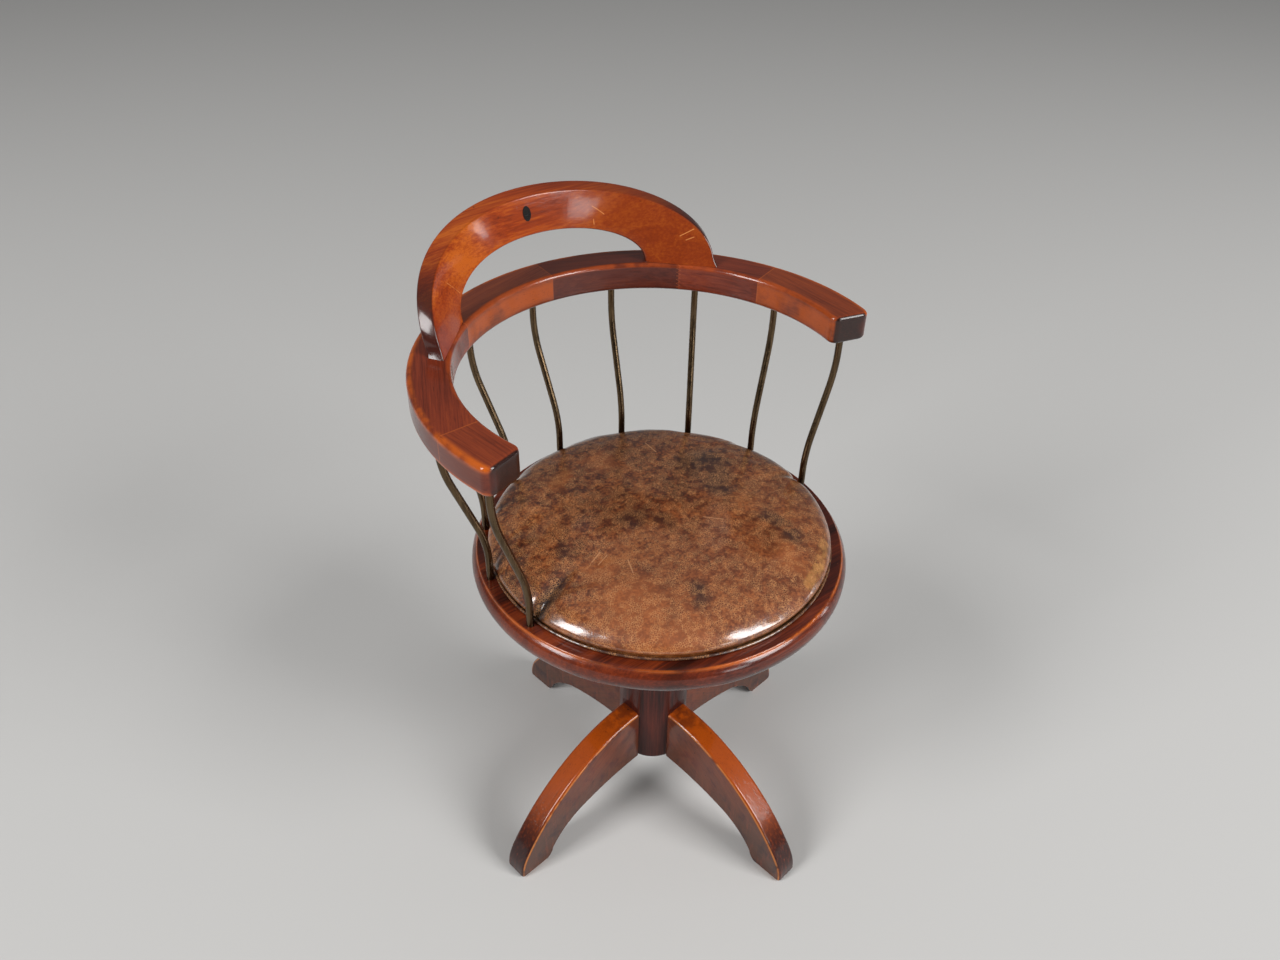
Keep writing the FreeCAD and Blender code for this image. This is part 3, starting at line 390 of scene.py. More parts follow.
# Each mark is a mask, the colour it lays over the wood, and how strongly.
EASED = 0.001
RAIL_MIDDLE = RAIL_TOP - RAIL_THICK / 2
RAIL_OUTER_RUB = (edge_mask(RAIL_OUTER_CENTRE, RAIL_OUTER - EASED, RAIL_TOP - EASED, 0.007),
                  srgb(196, 92, 18), 0.85)
RAIL_LOW_RUB = (edge_mask(RAIL_OUTER_CENTRE, RAIL_OUTER - EASED, RAIL_TOP - RAIL_THICK + EASED, 0.006, 18.0),
                srgb(204, 100, 34), 0.85)
RAIL_SIDE = (edge_mask(RAIL_OUTER_CENTRE, RAIL_OUTER + 2 * EASED, RAIL_MIDDLE, 0.019, 6.0),
             srgb(82, 28, 15), 0.7)
RAIL_INNER_RUB = (edge_mask(RAIL_INNER_CENTRE, RAIL_INNER + EASED, RAIL_TOP - EASED, 0.005),
                  srgb(170, 72, 18), 0.6)
# painted light: the inner face of the rail is painted orange as if lit
RAIL_FACE_PAINTED_LIGHT = (edge_mask(RAIL_INNER_CENTRE, RAIL_INNER - 2 * EASED, RAIL_MIDDLE, 0.018),
                  srgb(180, 80, 14), 0.75)


def end_grain(side):
    """The mark for the dark end face of the arm on one side, 1 for the sitter's right."""
    return (glue_line(side * RAIL_END_ANGLE, width=END_GRAIN_DEPTH), srgb(20, 7, 5), 0.95)


RAIL = {
    # the board's angle and tone, the joints at its ends, and marks of its own
    "rail_right_end": (98, (128, 52, 26), (90.0,), (end_grain(1),)),
    "rail_right_shoulder": (63, (120, 46, 24), (90.0, 36.5), ()),
    "rail_right_back": (16, (104, 46, 28), (36.5,), (RAIL_FACE_PAINTED_LIGHT,)),
    "rail_left_back": (-25, (80, 31, 21), (-3.5,), ()),
    "rail_left_shoulder": (-60, (114, 44, 24), (-73.0,), ()),
    "rail_left_arm": (-90, (128, 54, 24), (-73.0,), (RAIL_FACE_PAINTED_LIGHT, end_grain(-1))),
}
for name, (angle, tone, joints, extra) in RAIL.items():
    marks = list(extra) + [RAIL_SIDE, RAIL_INNER_RUB, RAIL_OUTER_RUB, RAIL_LOW_RUB]
    marks += [(glue_line(joint), srgb(190, 96, 40), 0.5) for joint in joints]
    if "left_back" in name or "left_shoulder" in name:
        marks.append((glue_line(FINGER_JOINT, 2.0), srgb(168, 84, 44), 0.5))
    deep = srgb(0.68 * tone[0], 0.60 * tone[1], 0.55 * tone[2])
    glow = srgb(1.18 * tone[0], 1.30 * tone[1], 1.15 * tone[2])
    grain = [(0, 0, math.radians(-angle))]
    paint([name], varnish(name + "_varnish", deep, srgb(*tone), glow, grain, marks))
print("rail blocks finished:", len(RAIL))

# %% [markdown]
# ## Pedestal and ring
# Each leg is sawn from a plank whose grain runs down the slope. Its back is orange,
# partly worn by feet and partly painted light where light falls on it, and its side
# faces are painted darker as shade. A pale line along both edges is partly rubbed
# stain and partly a painted highlight. The toe is dark, and the part beside the hub
# is painted shade under the seat. The column's grain is upright, and its tones are
# painted darker than the legs' as shade under the seat. The seat's ring is dark, with
# a bright rubbed line round its upper edge, and the upper part of its side is painted
# lighter where light falls.

# %% Legs and column
LEG_HALF = 0.015
LEG_TURN, LEG_SLOPE = 6.5, -38.0
UPRIGHT = (0, math.radians(90), 0)


def leg_back(turn):
    """1 on a leg's back between the two side faces, less near the toe; painted lighter there, partly as wear
    and partly as light falling on it.
    """
    def mask(tree, place):
        parts = split(tree, turned(tree, place, (0, 0, -turn)))
        inside = smooth(tree, maths(tree, "ABSOLUTE", parts["Y"]), LEG_HALF - 0.0002, LEG_HALF - 0.002)
        return product(tree, inside, smooth(tree, parts["Z"], 0.035, 0.09))
    return mask


def leg_side_shade(turn):
    """1 on the two flat side faces, painted darker as shade."""
    def mask(tree, place):
        parts = split(tree, turned(tree, place, (0, 0, -turn)))
        return smooth(tree, maths(tree, "ABSOLUTE", parts["Y"]), LEG_HALF - 0.0006, LEG_HALF - 0.0001)
    return mask


def leg_toe(turn):
    """1 low down, drawn out into streaks along the grain, where the toe has gone dark."""
    def mask(tree, place):
        along_leg = turned(tree, place, (0, 0, -turn))
        streaks = noise(tree, scaled(tree, along_leg, (300.0, 300.0, 30.0)), 1.0, 2.0)
        low = smooth(tree, split(tree, place)["Z"], 0.115, 0.035)
        return product(tree, low, smooth(tree, streaks, 0.2, 0.55))
    return mask


def leg_hub_shade(turn):
    """1 in ragged patches beside the hub, painted darker as shade under the seat."""
    def mask(tree, place):
        near = smooth(tree, ring_distance(tree, place, 0.0), 0.115, 0.05)
        return product(tree, near, smooth(tree, noise(tree, place, 55.0, 3.0), 0.38, 0.6))
    return mask


def leg_arris(turn):
    """1 on a fine line along each edge of the back, partly where the stain is rubbed through and partly a
    painted highlight.
    """
    def mask(tree, place):
        parts = split(tree, turned(tree, place, (0, 0, -turn)))
        aside = maths(tree, "ABSOLUTE", parts["Y"])
        gap = maths(tree, "ABSOLUTE", maths(tree, "SUBTRACT", aside, LEG_HALF - 0.0007))
        return patchy(tree, place, smooth(tree, gap, 0.0008, 0.0003), 60.0)
    return mask


def flecks(tree, place):
    """Scattered small chips where the stain is gone."""
    return smooth(tree, noise(tree, place, 130.0, 2.0, 0.6), 0.70, 0.76)


for index, name in enumerate(("leg_front", "leg_right", "leg_rear", "leg_left")):
    turn = math.radians(LEG_TURN - 90 + 90 * index)
    # painted light and shade: a lit back, shaded sides, shade beside the hub, and highlight lines along the
    # edges
    marks = [(leg_back(turn), srgb(168, 72, 6), 0.8), (leg_side_shade(turn), srgb(84, 30, 18), 0.6),
             (leg_hub_shade(turn), srgb(66, 22, 10), 0.7), (leg_toe(turn), srgb(42, 12, 8), 0.92),
             (leg_arris(turn), srgb(216, 132, 66), 0.6), (flecks, srgb(46, 16, 8), 0.8)]
    paint([name], varnish(name + "_varnish", srgb(44, 12, 6), srgb(94, 34, 14), srgb(136, 58, 20),
                          [(0, 0, -turn), (0, math.radians(LEG_SLOPE), 0)], marks))

# painted shade: the column's tones are darker than the legs' for the shade under the seat
paint(["hub_column"], varnish("column_shaded_varnish", srgb(30, 8, 6), srgb(62, 20, 13), srgb(90, 34, 20),
                              [UPRIGHT], gloss=0.2, coat=0.5))
print("legs and column finished")

# %% Seat ring and hidden timber
RING_TOP, RING_RIM = 0.4156, 0.2105
ring_marks = [(edge_mask(0.0, RING_RIM, RING_TOP - EASED, 0.0032, 16.0), srgb(200, 98, 22), 0.9),
              # painted light: the upper part of the ring's side is painted lighter where light falls
              (edge_mask(0.0, RING_RIM + 0.002, RING_TOP - 0.009, 0.012, 9.0), srgb(140, 54, 12), 0.22),
              (flecks, srgb(150, 84, 50), 0.4)]
paint(["seat_ring"], varnish("ring_varnish", srgb(40, 10, 5), srgb(80, 26, 11), srgb(122, 48, 18),
                             marks=ring_marks))
paint(["seat_board", "cushion_board", "leg_dowels", "rail_splines", "crest_dowels"],
      varnish("plain_board", srgb(92, 62, 38), srgb(142, 104, 66), srgb(170, 130, 88), coat=0.0))
print("ring and hidden timber finished")

# %% [markdown]
# ## Crest
# The crest is an arched board that follows the rail in plan and leans back. Each of
# its sections is a rounded rectangle whose four corners lie on four arches: front
# outer, front inner, back inner and back outer. Carrying that section from foot to
# foot gives one smooth surface with eased edges. Two numbers are kept on each point
# for the finish: how far it faces the front, and how near it is to an edge.

# %% Surface helper
def link_piece(name, points, faces):
    """A smooth-shaded mesh object at the origin from an array of points and a list of faces."""
    mesh = bpy.data.meshes.new(name)
    mesh.from_pydata(points.reshape(-1, 3).tolist(), [], faces)
    mesh.validate()
    mesh.shade_smooth()
    piece = bpy.data.objects.new(name, mesh)
    bpy.context.scene.collection.objects.link(piece)
    return piece


def quads_between(numbers):
    """Quads that join neighbours of a grid of point numbers in both directions."""
    corners = [numbers[:-1, :-1], numbers[:-1, 1:], numbers[1:, 1:], numbers[1:, :-1]]
    return np.stack(corners, axis=-1).reshape(-1, 4)


def keep_number(piece, name, values):
    """Store one number on each point of a mesh, for its material to read."""
    piece.data.attributes.new(name, "FLOAT", "POINT").data.foreach_set("value", values.reshape(-1))


# %% Crest
CREST_FRONT, CREST_THICK, CREST_LEAN = RAIL_INNER + 0.0068, 0.017, math.radians(14.4)
CREST_STEPS = 160
FLARE, FLARE_HEIGHT = math.radians(1.3), 0.012


def crest_point(angle, height, depth):
    """Round the rail's inner centre: radius grows with depth and, for the lean, with height."""
    radius = CREST_FRONT + height * math.tan(CREST_LEAN) + depth
    behind = RAIL_INNER_CENTRE + radius * np.cos(angle)
    return np.stack([-radius * np.sin(angle), behind, RAIL_TOP + height], -1)


def arch(turn, half_angle, height, power):
    """A superellipse from foot to foot: angle and height at each turn from 0 to pi."""
    across = np.sign(np.cos(turn)) * np.abs(np.cos(turn)) ** (2 / power)
    return math.radians(half_angle) * across, height * np.abs(np.sin(turn)) ** (2 / power)


def rounded_square(count, radius_a, radius_b):
    """Points round a square from -1 to 1 whose corners are quarter ellipses of the given radii."""
    swing = np.concatenate([np.linspace(start, start + 1, count) for start in range(4)]) * math.pi / 2
    corner_a = np.repeat([1, -1, -1, 1], count) * (1 - radius_a)
    corner_b = np.repeat([1, 1, -1, -1], count) * (1 - radius_b)
    return np.stack([corner_a + radius_a * np.cos(swing), corner_b + radius_b * np.sin(swing)], -1)


turns = (1 - np.cos(np.linspace(0, math.pi, CREST_STEPS + 1))) * math.pi / 2
front_outer = arch(turns, half_angle=57.0, height=0.089, power=2.04)
back_outer = arch(turns, half_angle=55.0, height=0.094, power=2.04)
inner = arch(turns, half_angle=35.0, height=0.047, power=2.1)
foot = np.clip(1 - front_outer[1] / FLARE_HEIGHT, 0, 1) ** 2
flare = FLARE * foot * np.sign(np.cos(turns))
corner_fo = crest_point(front_outer[0] + flare, front_outer[1], 0)
corner_fi = crest_point(inner[0], inner[1], 0)
corner_bi = crest_point(inner[0], inner[1], CREST_THICK)
corner_bo = crest_point(back_outer[0] + flare, back_outer[1], CREST_THICK)
section = rounded_square(8, radius_a=0.08, radius_b=0.22)
wide = (section[:, 0] + 1)[None, :, None] / 2
thick = (section[:, 1] + 1)[None, :, None] / 2
crest_points = ((corner_fi[:, None] * (1 - wide) + corner_fo[:, None] * wide) * (1 - thick)
                + (corner_bi[:, None] * (1 - wide) + corner_bo[:, None] * wide) * thick)
rows, columns = crest_points.shape[:2]
numbers = np.arange(rows * columns).reshape(rows, columns)
crest_faces = quads_between(np.concatenate([numbers, numbers[:, :1]], axis=1)).tolist()
crest_faces += [numbers[0, ::-1].tolist(), numbers[-1].tolist()]
crest = link_piece("crest_board", crest_points, crest_faces)
front_share = np.clip((-0.93 - section[:, 1]) / 0.06, 0, 1)
near_corner = np.clip(1 - np.abs(np.abs(section[:, 1]) - 0.97) / 0.12, 0, 1)
corner_share = near_corner * (np.abs(section[:, 0]) > 0.9)
keep_number(crest, "front", np.tile(front_share, (rows, 1)))
keep_number(crest, "corner", np.tile(corner_share, (rows, 1)))
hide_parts("crest")
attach(crest, "seat")
print("crest faces", len(crest.data.polygons))


# %% [markdown]
# ## Crest finish
# The face of the crest is the brightest wood on the chair, redder at one foot and
# browner at the other. Its back and its edges kept the dark stain, least along the
# crown, which is painted lighter where light falls on it. A few scratches cross the face.

# %% Crest finish
CREST_SCRATCHES = (
    # the two ends of each scratch
    ((0.0776, 0.2330, 0.7163), (0.0825, 0.2300, 0.7125)),
    ((0.0825, 0.2300, 0.7125), (0.0891, 0.2254, 0.7064)),
    ((0.0766, 0.2290, 0.7020), (0.0766, 0.2280, 0.6963)),
    ((0.1582, 0.1685, 0.6817), (0.1719, 0.1598, 0.6900)),
    ((0.1626, 0.1624, 0.6777), (0.1701, 0.1570, 0.6814)),
    ((-0.1380, 0.1927, 0.6972), (-0.1201, 0.2003, 0.6774)),
)


def scratch(start, end, width=0.0007):
    """A mask for one scratch between two points."""
    def mask(tree, place):
        return stroke(tree, place, start, end, width)
    return mask


def kept_number(name):
    """A mask read from the numbers kept on the piece."""
    def mask(tree, place):
        return add(tree, "ShaderNodeAttribute", attribute_name=name).outputs["Fac"]
    return mask


def crest_back(tree, place):
    """1 off the front face, where the stain is darker, but less so along the crown, which is painted lighter
    as lit.
    """
    off = maths(tree, "SUBTRACT", 1.0, kept_number("front")(tree, place))
    crown = smooth(tree, split(tree, place)["Z"], RAIL_TOP + 0.048, RAIL_TOP + 0.080)
    return product(tree, off, maths(tree, "SUBTRACT", 1.0, maths(tree, "MULTIPLY", crown, 0.6)))


def crest_red_foot(tree, place):
    """1 towards the foot on the sitter's right and low down, where the stain is redder."""
    parts = split(tree, place)
    aside = smooth(tree, parts["X"], -0.10, -0.17)
    return product(tree, aside, smooth(tree, parts["Z"], RAIL_TOP + 0.06, RAIL_TOP))


def crest_brown(tree, place):
    """1 towards the sitter's left, where the board is browner."""
    return smooth(tree, split(tree, place)["X"], -0.02, 0.12)


# the crown is painted lighter as lit, over the darker stain of the back and edges
crest_marks = [(crest_brown, srgb(130, 50, 9), 0.65), (crest_red_foot, srgb(148, 40, 10), 0.65),
               (crest_back, srgb(46, 14, 8), 0.93), (kept_number("corner"), srgb(50, 16, 8), 0.35),
               (flecks, srgb(84, 30, 8), 0.6)]
crest_marks += [(scratch(*ends), srgb(226, 150, 84), 0.6) for ends in CREST_SCRATCHES]
crest.data.materials.append(varnish("crest_varnish", srgb(122, 38, 4), srgb(174, 66, 9), srgb(216, 106, 24),
                                    marks=crest_marks))
paint(["crest_plug"], varnish("plug_varnish", srgb(12, 9, 8), srgb(26, 20, 18), srgb(44, 36, 32)))

# %% [markdown]
# ## Leather seat
# The seat is a round pad of leather over stuffing, pulled down to a welt. A blank is
# made first: a flat square grid is pulled into a disc and then laid over a crowned
# profile that rolls over at the edge and tucks back in, so there is no pole at the
# middle. The profile is three arcs, each leaving where the last one was heading. Rods
# press into the edge, and creases run inwards from some of them.

# %% Pad blank
PAD_STEPS = 103
SEAM_RADIUS, PAD_BASE = 0.1914, -0.0016
# radius and height over the ring along the pad's profile
PAD_CROWN, PAD_SHOULDER = (0.0, 0.0382), (0.167, 0.0280)
PAD_EDGE, PAD_SEAM = (0.1945, 0.0125), (SEAM_RADIUS, 0.0040)
ROD_PRESS, FRONT_PRESS, ROD_PRESS_WIDTH = 0.0014, 0.0018, 0.011
ROD_ANGLES = np.radians(24.8 * np.arange(-4, 5))


def tangent_arc(start, heading, end, count):
    """Points of the arc that leaves start at a heading and reaches end, and its last heading."""
    start, end = np.array(start), np.array(end)
    chord = end - start
    deflection = math.atan2(chord[1], chord[0]) - heading
    radius = np.hypot(*chord) / (2 * math.sin(deflection))
    centre = start + radius * np.array([-math.sin(heading), math.cos(heading)])
    swing = heading - math.pi / 2 + np.linspace(0, 2 * deflection, count)
    return centre + radius * np.stack([np.cos(swing), np.sin(swing)], -1), heading + 2 * deflection


dome, heading = tangent_arc(PAD_CROWN, 0.0, PAD_SHOULDER, 60)
roll, heading = tangent_arc(dome[-1], heading, PAD_EDGE, 24)
tuck, heading = tangent_arc(roll[-1], heading, PAD_SEAM, 12)
profile = np.concatenate([dome, roll[1:], tuck[1:], [[SEAM_RADIUS, PAD_BASE]]])
travel = np.concatenate([[0], np.cumsum(np.hypot(*np.diff(profile, axis=0).T))])

side = np.linspace(-1, 1, PAD_STEPS)
grid_x, grid_y = np.meshgrid(side, side)
disc_x = grid_x * np.sqrt(1 - grid_y ** 2 / 2)
disc_y = grid_y * np.sqrt(1 - grid_x ** 2 / 2)
share = np.hypot(disc_x, disc_y)
angle = np.arctan2(-disc_x, disc_y)
radius = np.interp(share * travel[-1], travel, profile[:, 0])
height = np.interp(share * travel[-1], travel, profile[:, 1])



def rod_gap(angle):
    """The angle from each direction to the nearest rod."""
    return np.abs((angle[..., None] - ROD_ANGLES + math.pi) % (2 * math.pi) - math.pi).min(axis=-1)


near_edge = np.clip((radius - 0.165) / 0.028, 0, 1) ** 2
rod_press = np.exp(-(rod_gap(angle) * radius / ROD_PRESS_WIDTH) ** 2) * near_edge
in_front = np.clip(-np.cos(angle) * 6, 0, 1)
radius = radius - (ROD_PRESS + FRONT_PRESS * in_front) * rod_press
pad_x, pad_y = -radius * np.sin(angle), radius * np.cos(angle)

CREASES = (
    # from angle and radius, to angle and radius, half width, depth
    (100.3, 0.197, 97.0, 0.128, 0.0062, 0.0078),
    (71.5, 0.194, 61.5, 0.156, 0.0036, 0.0034),
    (46.0, 0.194, 44.0, 0.178, 0.0036, 0.0020),
    (-99.5, 0.196, -98.0, 0.150, 0.0042, 0.0046),
    (-72.0, 0.194, -66.0, 0.170, 0.0036, 0.0026),
)


def crease_depth(crease):
    """Depth at each point: a bell across the line from start to end, fading towards the end."""
    angle_a, radius_a, angle_b, radius_b, half_width, depth = crease
    start = radius_a * np.array([-math.sin(math.radians(angle_a)), math.cos(math.radians(angle_a))])
    end = radius_b * np.array([-math.sin(math.radians(angle_b)), math.cos(math.radians(angle_b))])
    along = end - start
    share = ((pad_x - start[0]) * along[0] + (pad_y - start[1]) * along[1]) / (along @ along)
    clamped = np.clip(share, 0, 1)
    gap = np.hypot(pad_x - start[0] - clamped * along[0], pad_y - start[1] - clamped * along[1])
    return depth * (1 - clamped) ** 0.7 * np.exp(-(gap / (half_width * (1.25 - 0.5 * clamped))) ** 2)


creases = sum(crease_depth(crease) for crease in CREASES)
height = height - creases * np.clip(height / 0.012, 0, 1)
top_points = np.stack([pad_x, pad_y, RING_TOP + height], -1)
under_x, under_y = SEAM_RADIUS * disc_x[1:-1, 1:-1], SEAM_RADIUS * disc_y[1:-1, 1:-1]
under_points = np.stack([under_x, under_y, np.full_like(under_x, RING_TOP + PAD_BASE)], -1)
pad_points = np.concatenate([top_points.reshape(-1, 3), under_points.reshape(-1, 3)])
top_numbers = np.arange(PAD_STEPS ** 2).reshape(PAD_STEPS, PAD_STEPS)
under_numbers = top_numbers.copy()
under_numbers[1:-1, 1:-1] = PAD_STEPS ** 2 + np.arange((PAD_STEPS - 2) ** 2).reshape(PAD_STEPS - 2, -1)
pad_faces = np.concatenate([quads_between(top_numbers), quads_between(under_numbers)[:, ::-1]])
pad = link_piece("leather_pad", pad_points, pad_faces.tolist())
print("pad blank", len(pad.data.vertices), "points, crown", round(float(pad_points[:, 2].max()), 4))

# %% [markdown]
# ## Swell of the leather
# Stuffing pushes a cover out between the places where it is held. The blank is blown
# up as cloth, with its seam and the creases held, and no point may move further than
# the leather could stretch.

# %% Blow up the pad
SWELL_LIMIT = 0.0014
PRESSURE, CLOTH_FRAMES = 2.0, 20


def mesh_points(mesh):
    """The points of a mesh as an array."""
    flat = np.empty(3 * len(mesh.vertices))
    mesh.vertices.foreach_get("co", flat)
    return flat.reshape(-1, 3)


def blow_up(piece, held, pressure, frames, limit):
    """Cloth under pressure, without gravity. Held points stay, and tanh keeps moves within limit."""
    before = mesh_points(piece.data)
    group = piece.vertex_groups.new(name="held")
    for number in np.nonzero(held > 0.02)[0].tolist():
        group.add([number], float(held[number]), "REPLACE")
    cloth = piece.modifiers.new("swell", "CLOTH")
    cloth.settings.vertex_group_mass = "held"
    cloth.settings.quality = 4
    cloth.settings.tension_stiffness = cloth.settings.compression_stiffness = 20
    cloth.settings.bending_stiffness = 2.0
    cloth.settings.use_pressure = True
    cloth.settings.uniform_pressure_force = pressure
    cloth.settings.effector_weights.gravity = 0.0
    cloth.point_cache.frame_start, cloth.point_cache.frame_end = 1, frames
    for step in range(1, frames + 1):
        bpy.context.scene.frame_set(step)
    bent = piece.evaluated_get(bpy.context.evaluated_depsgraph_get())
    moved = mesh_points(bent.data) - before
    length = np.linalg.norm(moved, axis=1)
    moved *= (np.tanh(length / limit) * limit / np.maximum(length, 1e-9))[:, None]
    piece.modifiers.remove(cloth)
    piece.vertex_groups.remove(group)
    bpy.context.scene.frame_set(1)
    piece.data.vertices.foreach_set("co", (before + moved).reshape(-1))
    piece.data.update()
    return length


rim_held = np.clip((share - 0.93) / 0.04, 0, 1)
crease_held = np.clip(creases / 0.0022, 0, 1)
top_held = np.maximum(rim_held, crease_held).reshape(-1)
held = np.concatenate([top_held, np.ones((PAD_STEPS - 2) ** 2)])
swell = blow_up(pad, held, PRESSURE, CLOTH_FRAMES, SWELL_LIMIT)
print("cloth wanted to move", round(float(swell.max()) * 1000, 2), "mm at most")

# %% [markdown]
# ## Uneven stuffing
# After years of use the stuffing has shifted. Two products of sine waves, whose
# phases wander, raise and lower the top by about half a millimetre.

# %% Uneven stuffing
LUMP_HEIGHT, LUMP_PITCH = 0.00055, 60.0
points = mesh_points(pad.data)
u, v = LUMP_PITCH * points[:, 0], LUMP_PITCH * points[:, 1]
broad = np.sin(u + 0.6 * np.sin(0.9 * v) + 0.5) * np.sin(0.8 * v + 0.7 * np.sin(u))
small = np.sin(2.3 * u - 1.1 * v + 1.3) * np.sin(1.9 * v + 0.4)
on_top = np.clip((points[:, 2] - RING_TOP - 0.006) / 0.012, 0, 1)
points[:, 2] += LUMP_HEIGHT * (broad + 0.5 * small) * on_top
pad.data.vertices.foreach_set("co", points.reshape(-1))
finer = pad.modifiers.new("finer", "SUBSURF")
finer.levels = finer.render_levels = 1
print("crown after stuffing", round(float(points[:, 2].max()) - RING_TOP, 4), "over the ring")

# %% [markdown]
# ## Leather finish
# Old brown leather is never one colour. Wear rubs it tan at the front, a golden
# reflection is painted on part of the rim, oil darkens it in patches, and the creases
# are painted darker as shade. There are a few nicks, and a fine crackle of lighter
# lines covers it all. Wax gives it a deep gloss that breaks up in the grain.

# %% Leather
NICKS = (
    # from x and y, to x and y, and whether it is pale
    ((0.0724, 0.1188), (0.0690, 0.0929), True),
    ((-0.0085, -0.0888), (-0.0158, -0.1054), False),
    ((-0.1116, -0.0223), (-0.0961, -0.0157), True),
    ((-0.1090, -0.0300), (-0.0930, -0.0240), True),
    ((-0.0803, -0.0445), (-0.0877, -0.0629), True),
    ((0.0300, -0.0400), (0.0460, -0.0560), True),
)
# painted reflection: a golden reflection on part of the front rim, drawn as strokes
RIM_PAINTED_REFLECTION = (
    # from x and y, to x and y
    ((0.124, -0.140), (0.092, -0.163)),
    ((0.092, -0.163), (0.060, -0.177)),
)
DARK_SPOTS = (
    # x, y and reach
    (0.100, 0.045, 0.050), (0.092, 0.004, 0.036), (-0.036, 0.008, 0.030), (-0.014, -0.022, 0.020),
    (-0.052, -0.129, 0.020), (0.092, -0.092, 0.022), (0.087, -0.124, 0.018), (-0.120, 0.018, 0.018),
)
TAN_SPOTS = (
    # x, y and reach
    (-0.112, -0.100, 0.060), (-0.094, -0.160, 0.045), (-0.110, -0.036, 0.034),
    (0.000, 0.118, 0.036), (0.064, -0.144, 0.030), (-0.056, 0.118, 0.026),
)


def spots(tree, place, table):
    """1 inside any of the round spots of a table, with borders that noise makes ragged."""
    noises = add(tree, "ShaderNodeTexNoise", {"Vector": place, "Scale": 22.0, "Detail": 5.0})
    shift = vector_maths(tree, "SUBTRACT", noises.outputs["Color"], (0.5, 0.5, 0.5))
    shift = vector_maths(tree, "SCALE", shift, 0.06)
    parts = split(tree, vector_maths(tree, "ADD", place, shift))
    whole = 0.0
    for x, y, reach in table:
        out_x, out_y = maths(tree, "SUBTRACT", parts["X"], x), maths(tree, "SUBTRACT", parts["Y"], y)
        gap = hypotenuse(tree, out_x, out_y)
        whole = maths(tree, "MAXIMUM", whole, smooth(tree, gap, reach, 0.3 * reach))
    return whole


def seat_marks(tree, place, colour):
    """The wear of the seat, with painted shade in its creases and a painted reflection on its rim, laid over
    its plain colour, from the broadest mark to the finest.
    """
    flat = scaled(tree, place, (1.0, 1.0, 0.0))
    front = smooth(tree, split(tree, place)["Y"], 0.06, -0.14)
    colour = overlay(tree, colour, front, srgb(158, 82, 36), 0.22)
    colour = overlay(tree, colour, spots(tree, place, TAN_SPOTS), srgb(172, 94, 42), 0.35)
    colour = overlay(tree, colour, spots(tree, place, DARK_SPOTS), srgb(44, 20, 14), 0.8)
    # painted shade: the creases are darkened, most where they are deepest
    colour = overlay(tree, colour, kept_number("crease")(tree, place), srgb(26, 12, 9), 0.85)
    # painted golden reflection along part of the rim
    for start, end in RIM_PAINTED_REFLECTION:
        golden_reflection = patchy(tree, place, stroke(tree, flat, (*start, 0.0), (*end, 0.0), 0.007), 120.0)
        colour = overlay(tree, colour, golden_reflection, srgb(222, 166, 88), 0.28)
    for start, end, pale in NICKS:
        tint = srgb(206, 150, 104) if pale else srgb(34, 17, 12)
        nick = stroke(tree, flat, (*start, 0.0), (*end, 0.0), 0.0009)
        colour = overlay(tree, colour, nick, tint, 0.6)
    return colour


def leather(name, deep, body, glow, marks=True):
    """Waxed brown leather in three tones: broad patches, a fine mottle and crackle lines."""
    material, tree, shader = blank_material(name)
    place = object_place(tree)
    patches = noise(tree, place, 13.0, 4.0, 0.6, 0.4)
    mottle = noise(tree, place, 300.0, 3.0, 0.7)
    blotch = noise(tree, place, 70.0, 3.0, 0.6)
    tone = weighted(tree, (patches, 0.32), (mottle, 0.50), (blotch, 0.18))
    colour = ramp(tree, tone, [(0.41, deep), (0.5, body), (0.60, glow)])
    strength = noise(tree, place, 90.0, 2.0)
    crackle = add(tree, "ShaderNodeTexVoronoi", {"Vector": place, "Scale": 480.0, "Randomness": 1.0},
                  feature="DISTANCE_TO_EDGE").outputs["Distance"]
    lines = product(tree, smooth(tree, crackle, 0.12, 0.03), smooth(tree, strength, 0.38, 0.58))
    if marks:
        colour = seat_marks(tree, place, colour)
    colour = overlay(tree, colour, lines, srgb(206, 146, 92), 0.58)
    tree.links.new(colour, shader.inputs["Base Color"])
    rough = add(tree, "ShaderNodeMapRange", {"Value": blotch, "From Min": 0.3, "From Max": 0.7,
                                             "To Min": 0.34, "To Max": 0.5}).outputs["Result"]
    tree.links.new(rough, shader.inputs["Roughness"])
    grain = weighted(tree, (crackle, 0.6), (mottle, 0.5))
    bump = add(tree, "ShaderNodeBump", {"Height": grain, "Strength": 0.35, "Distance": 0.0004}).outputs[0]
    tree.links.new(bump, shader.inputs["Normal"])
    tree.links.new(bump, shader.inputs["Coat Normal"])
    shader.inputs["Specular IOR Level"].default_value = 0.25
    shader.inputs["Coat Weight"].default_value = 1.0
    shader.inputs["Coat Roughness"].default_value = 0.14
    shader.inputs["Coat IOR"].default_value = 1.75
    return material


pad.data.materials.append(leather("aged_leather", srgb(50, 22, 11), srgb(94, 45, 20), srgb(152, 87, 42)))
# painted shade in the creases: the depth at which a crease is painted darkest
FULL_SHADE_CREASE_DEPTH = 0.0036
crease_shade = np.clip(creases / FULL_SHADE_CREASE_DEPTH, 0, 1).reshape(-1)
keep_number(pad, "crease", np.concatenate([crease_shade, np.zeros((PAD_STEPS - 2) ** 2)]))
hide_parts("cushion")
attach(pad, "seat")
print("pad covered, creases marked on", int((crease_shade > 0.1).sum()), "points")

# %% [markdown]
# ## Welt
# A cord covered in the same leather closes the gap between the pad and the ring. Its
# tones are painted darker than the pad's as shade under the pad's roll. It is a thin
# tube carried round the seat. Its path comes in a little at each rod, where the rod
# pushes it, and goes out a little across the open front. Small ridges along it are the
# stitches that pull on the leather.

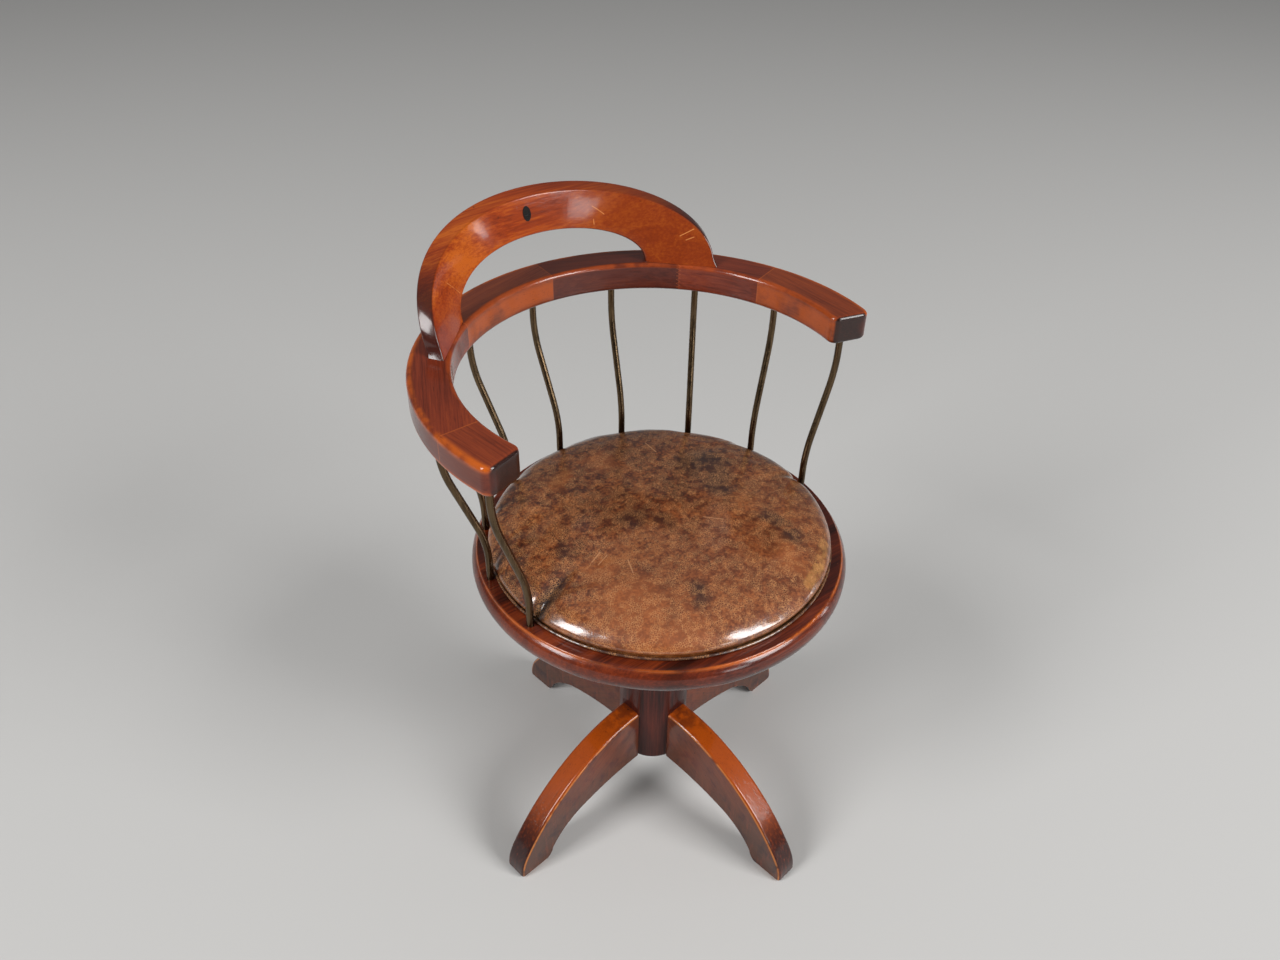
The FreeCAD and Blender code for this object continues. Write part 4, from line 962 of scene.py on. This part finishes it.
# %% Welt
WELT_RADIUS, WELT_PATH, WELT_GAP = 0.0016, 0.1947, 0.0003
WELT_PUSHED_IN, WELT_PULLED_OUT, RIDGES = 0.0008, 0.0012, 140
around = np.linspace(0, 2 * math.pi, 721)[:-1]
pushed = WELT_PUSHED_IN * np.exp(-(rod_gap(around) * WELT_PATH / 0.012) ** 2)
pulled = WELT_PULLED_OUT * np.clip(-np.cos(around) - 0.2, 0, 1)
path = WELT_PATH - pushed + pulled
swing = np.linspace(0, 2 * math.pi, 15)[:-1]
ridge = WELT_RADIUS * (1 + 0.05 * np.sin(RIDGES * around))[:, None]
reach = path[:, None] + ridge * np.cos(swing)
welt_points = np.stack([-reach * np.sin(around)[:, None], reach * np.cos(around)[:, None],
                        RING_TOP + WELT_GAP + WELT_RADIUS + ridge * np.sin(swing)], -1)
numbers = np.arange(around.size * swing.size).reshape(around.size, swing.size)
numbers = np.concatenate([numbers, numbers[:1]], axis=0)
numbers = np.concatenate([numbers, numbers[:, :1]], axis=1)
welt = link_piece("leather_piping", welt_points, quads_between(numbers).tolist())
# painted shade: the same leather in darker tones than the pad's
welt.data.materials.append(leather("welt_leather_shaded", srgb(40, 22, 16), srgb(66, 36, 24), srgb(92, 54, 36),
                                   marks=False))
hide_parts("cushion_welt")
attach(welt, "seat")
print("welt", round(2 * math.pi * WELT_PATH, 3), "m long")

# %% [markdown]
# ## Metal
# The rods are bronze gone dark with handling. The parts under the seat are iron,
# machined steel and brass, which are only seen from low down.

# %% Metal recipe
def metal(name, dark, bright, roughness, spread, stretch=(60.0, 60.0, 60.0)):
    """Metal with cloudy tarnish between two colours and rougher where it is duller."""
    material, tree, shader = blank_material(name)
    cloud = noise(tree, scaled(tree, object_place(tree), stretch), 1.0, 4.0, 0.6)
    tree.links.new(ramp(tree, cloud, [(0.35, dark), (0.65, bright)]), shader.inputs["Base Color"])
    rough = add(tree, "ShaderNodeMapRange",
                {"Value": cloud, "From Min": 0.3, "From Max": 0.7,
                 "To Min": roughness, "To Max": roughness + spread}).outputs["Result"]
    tree.links.new(rough, shader.inputs["Roughness"])
    shader.inputs["Metallic"].default_value = 1.0
    return material


paint(["rod_%d" % number for number in range(1, 10)],
      metal("old_bronze", srgb(80, 65, 49), srgb(108, 89, 66), 0.22, 0.1, (240.0, 240.0, 26.0)))
paint(["height_handwheel", "seat_iron", "iron_pin", "hub_plate", "lock_nut", "lock_washer"],
      metal("dark_iron", srgb(48, 46, 44), srgb(84, 80, 76), 0.45, 0.2))
paint(["height_screw", "swivel_sleeve", "sleeve_key"],
      metal("turned_steel", srgb(150, 150, 150), srgb(190, 190, 188), 0.25, 0.15, (400.0, 400.0, 1600.0)))
paint(["hub_bush"], metal("bush_brass", srgb(170, 130, 60), srgb(200, 160, 90), 0.3, 0.15))
paint(["hub_plate_screws", "seat_iron_screws", "seat_ring_screws"],
      metal("screw_steel", srgb(110, 106, 100), srgb(150, 146, 140), 0.35, 0.15))
print("metal finished")
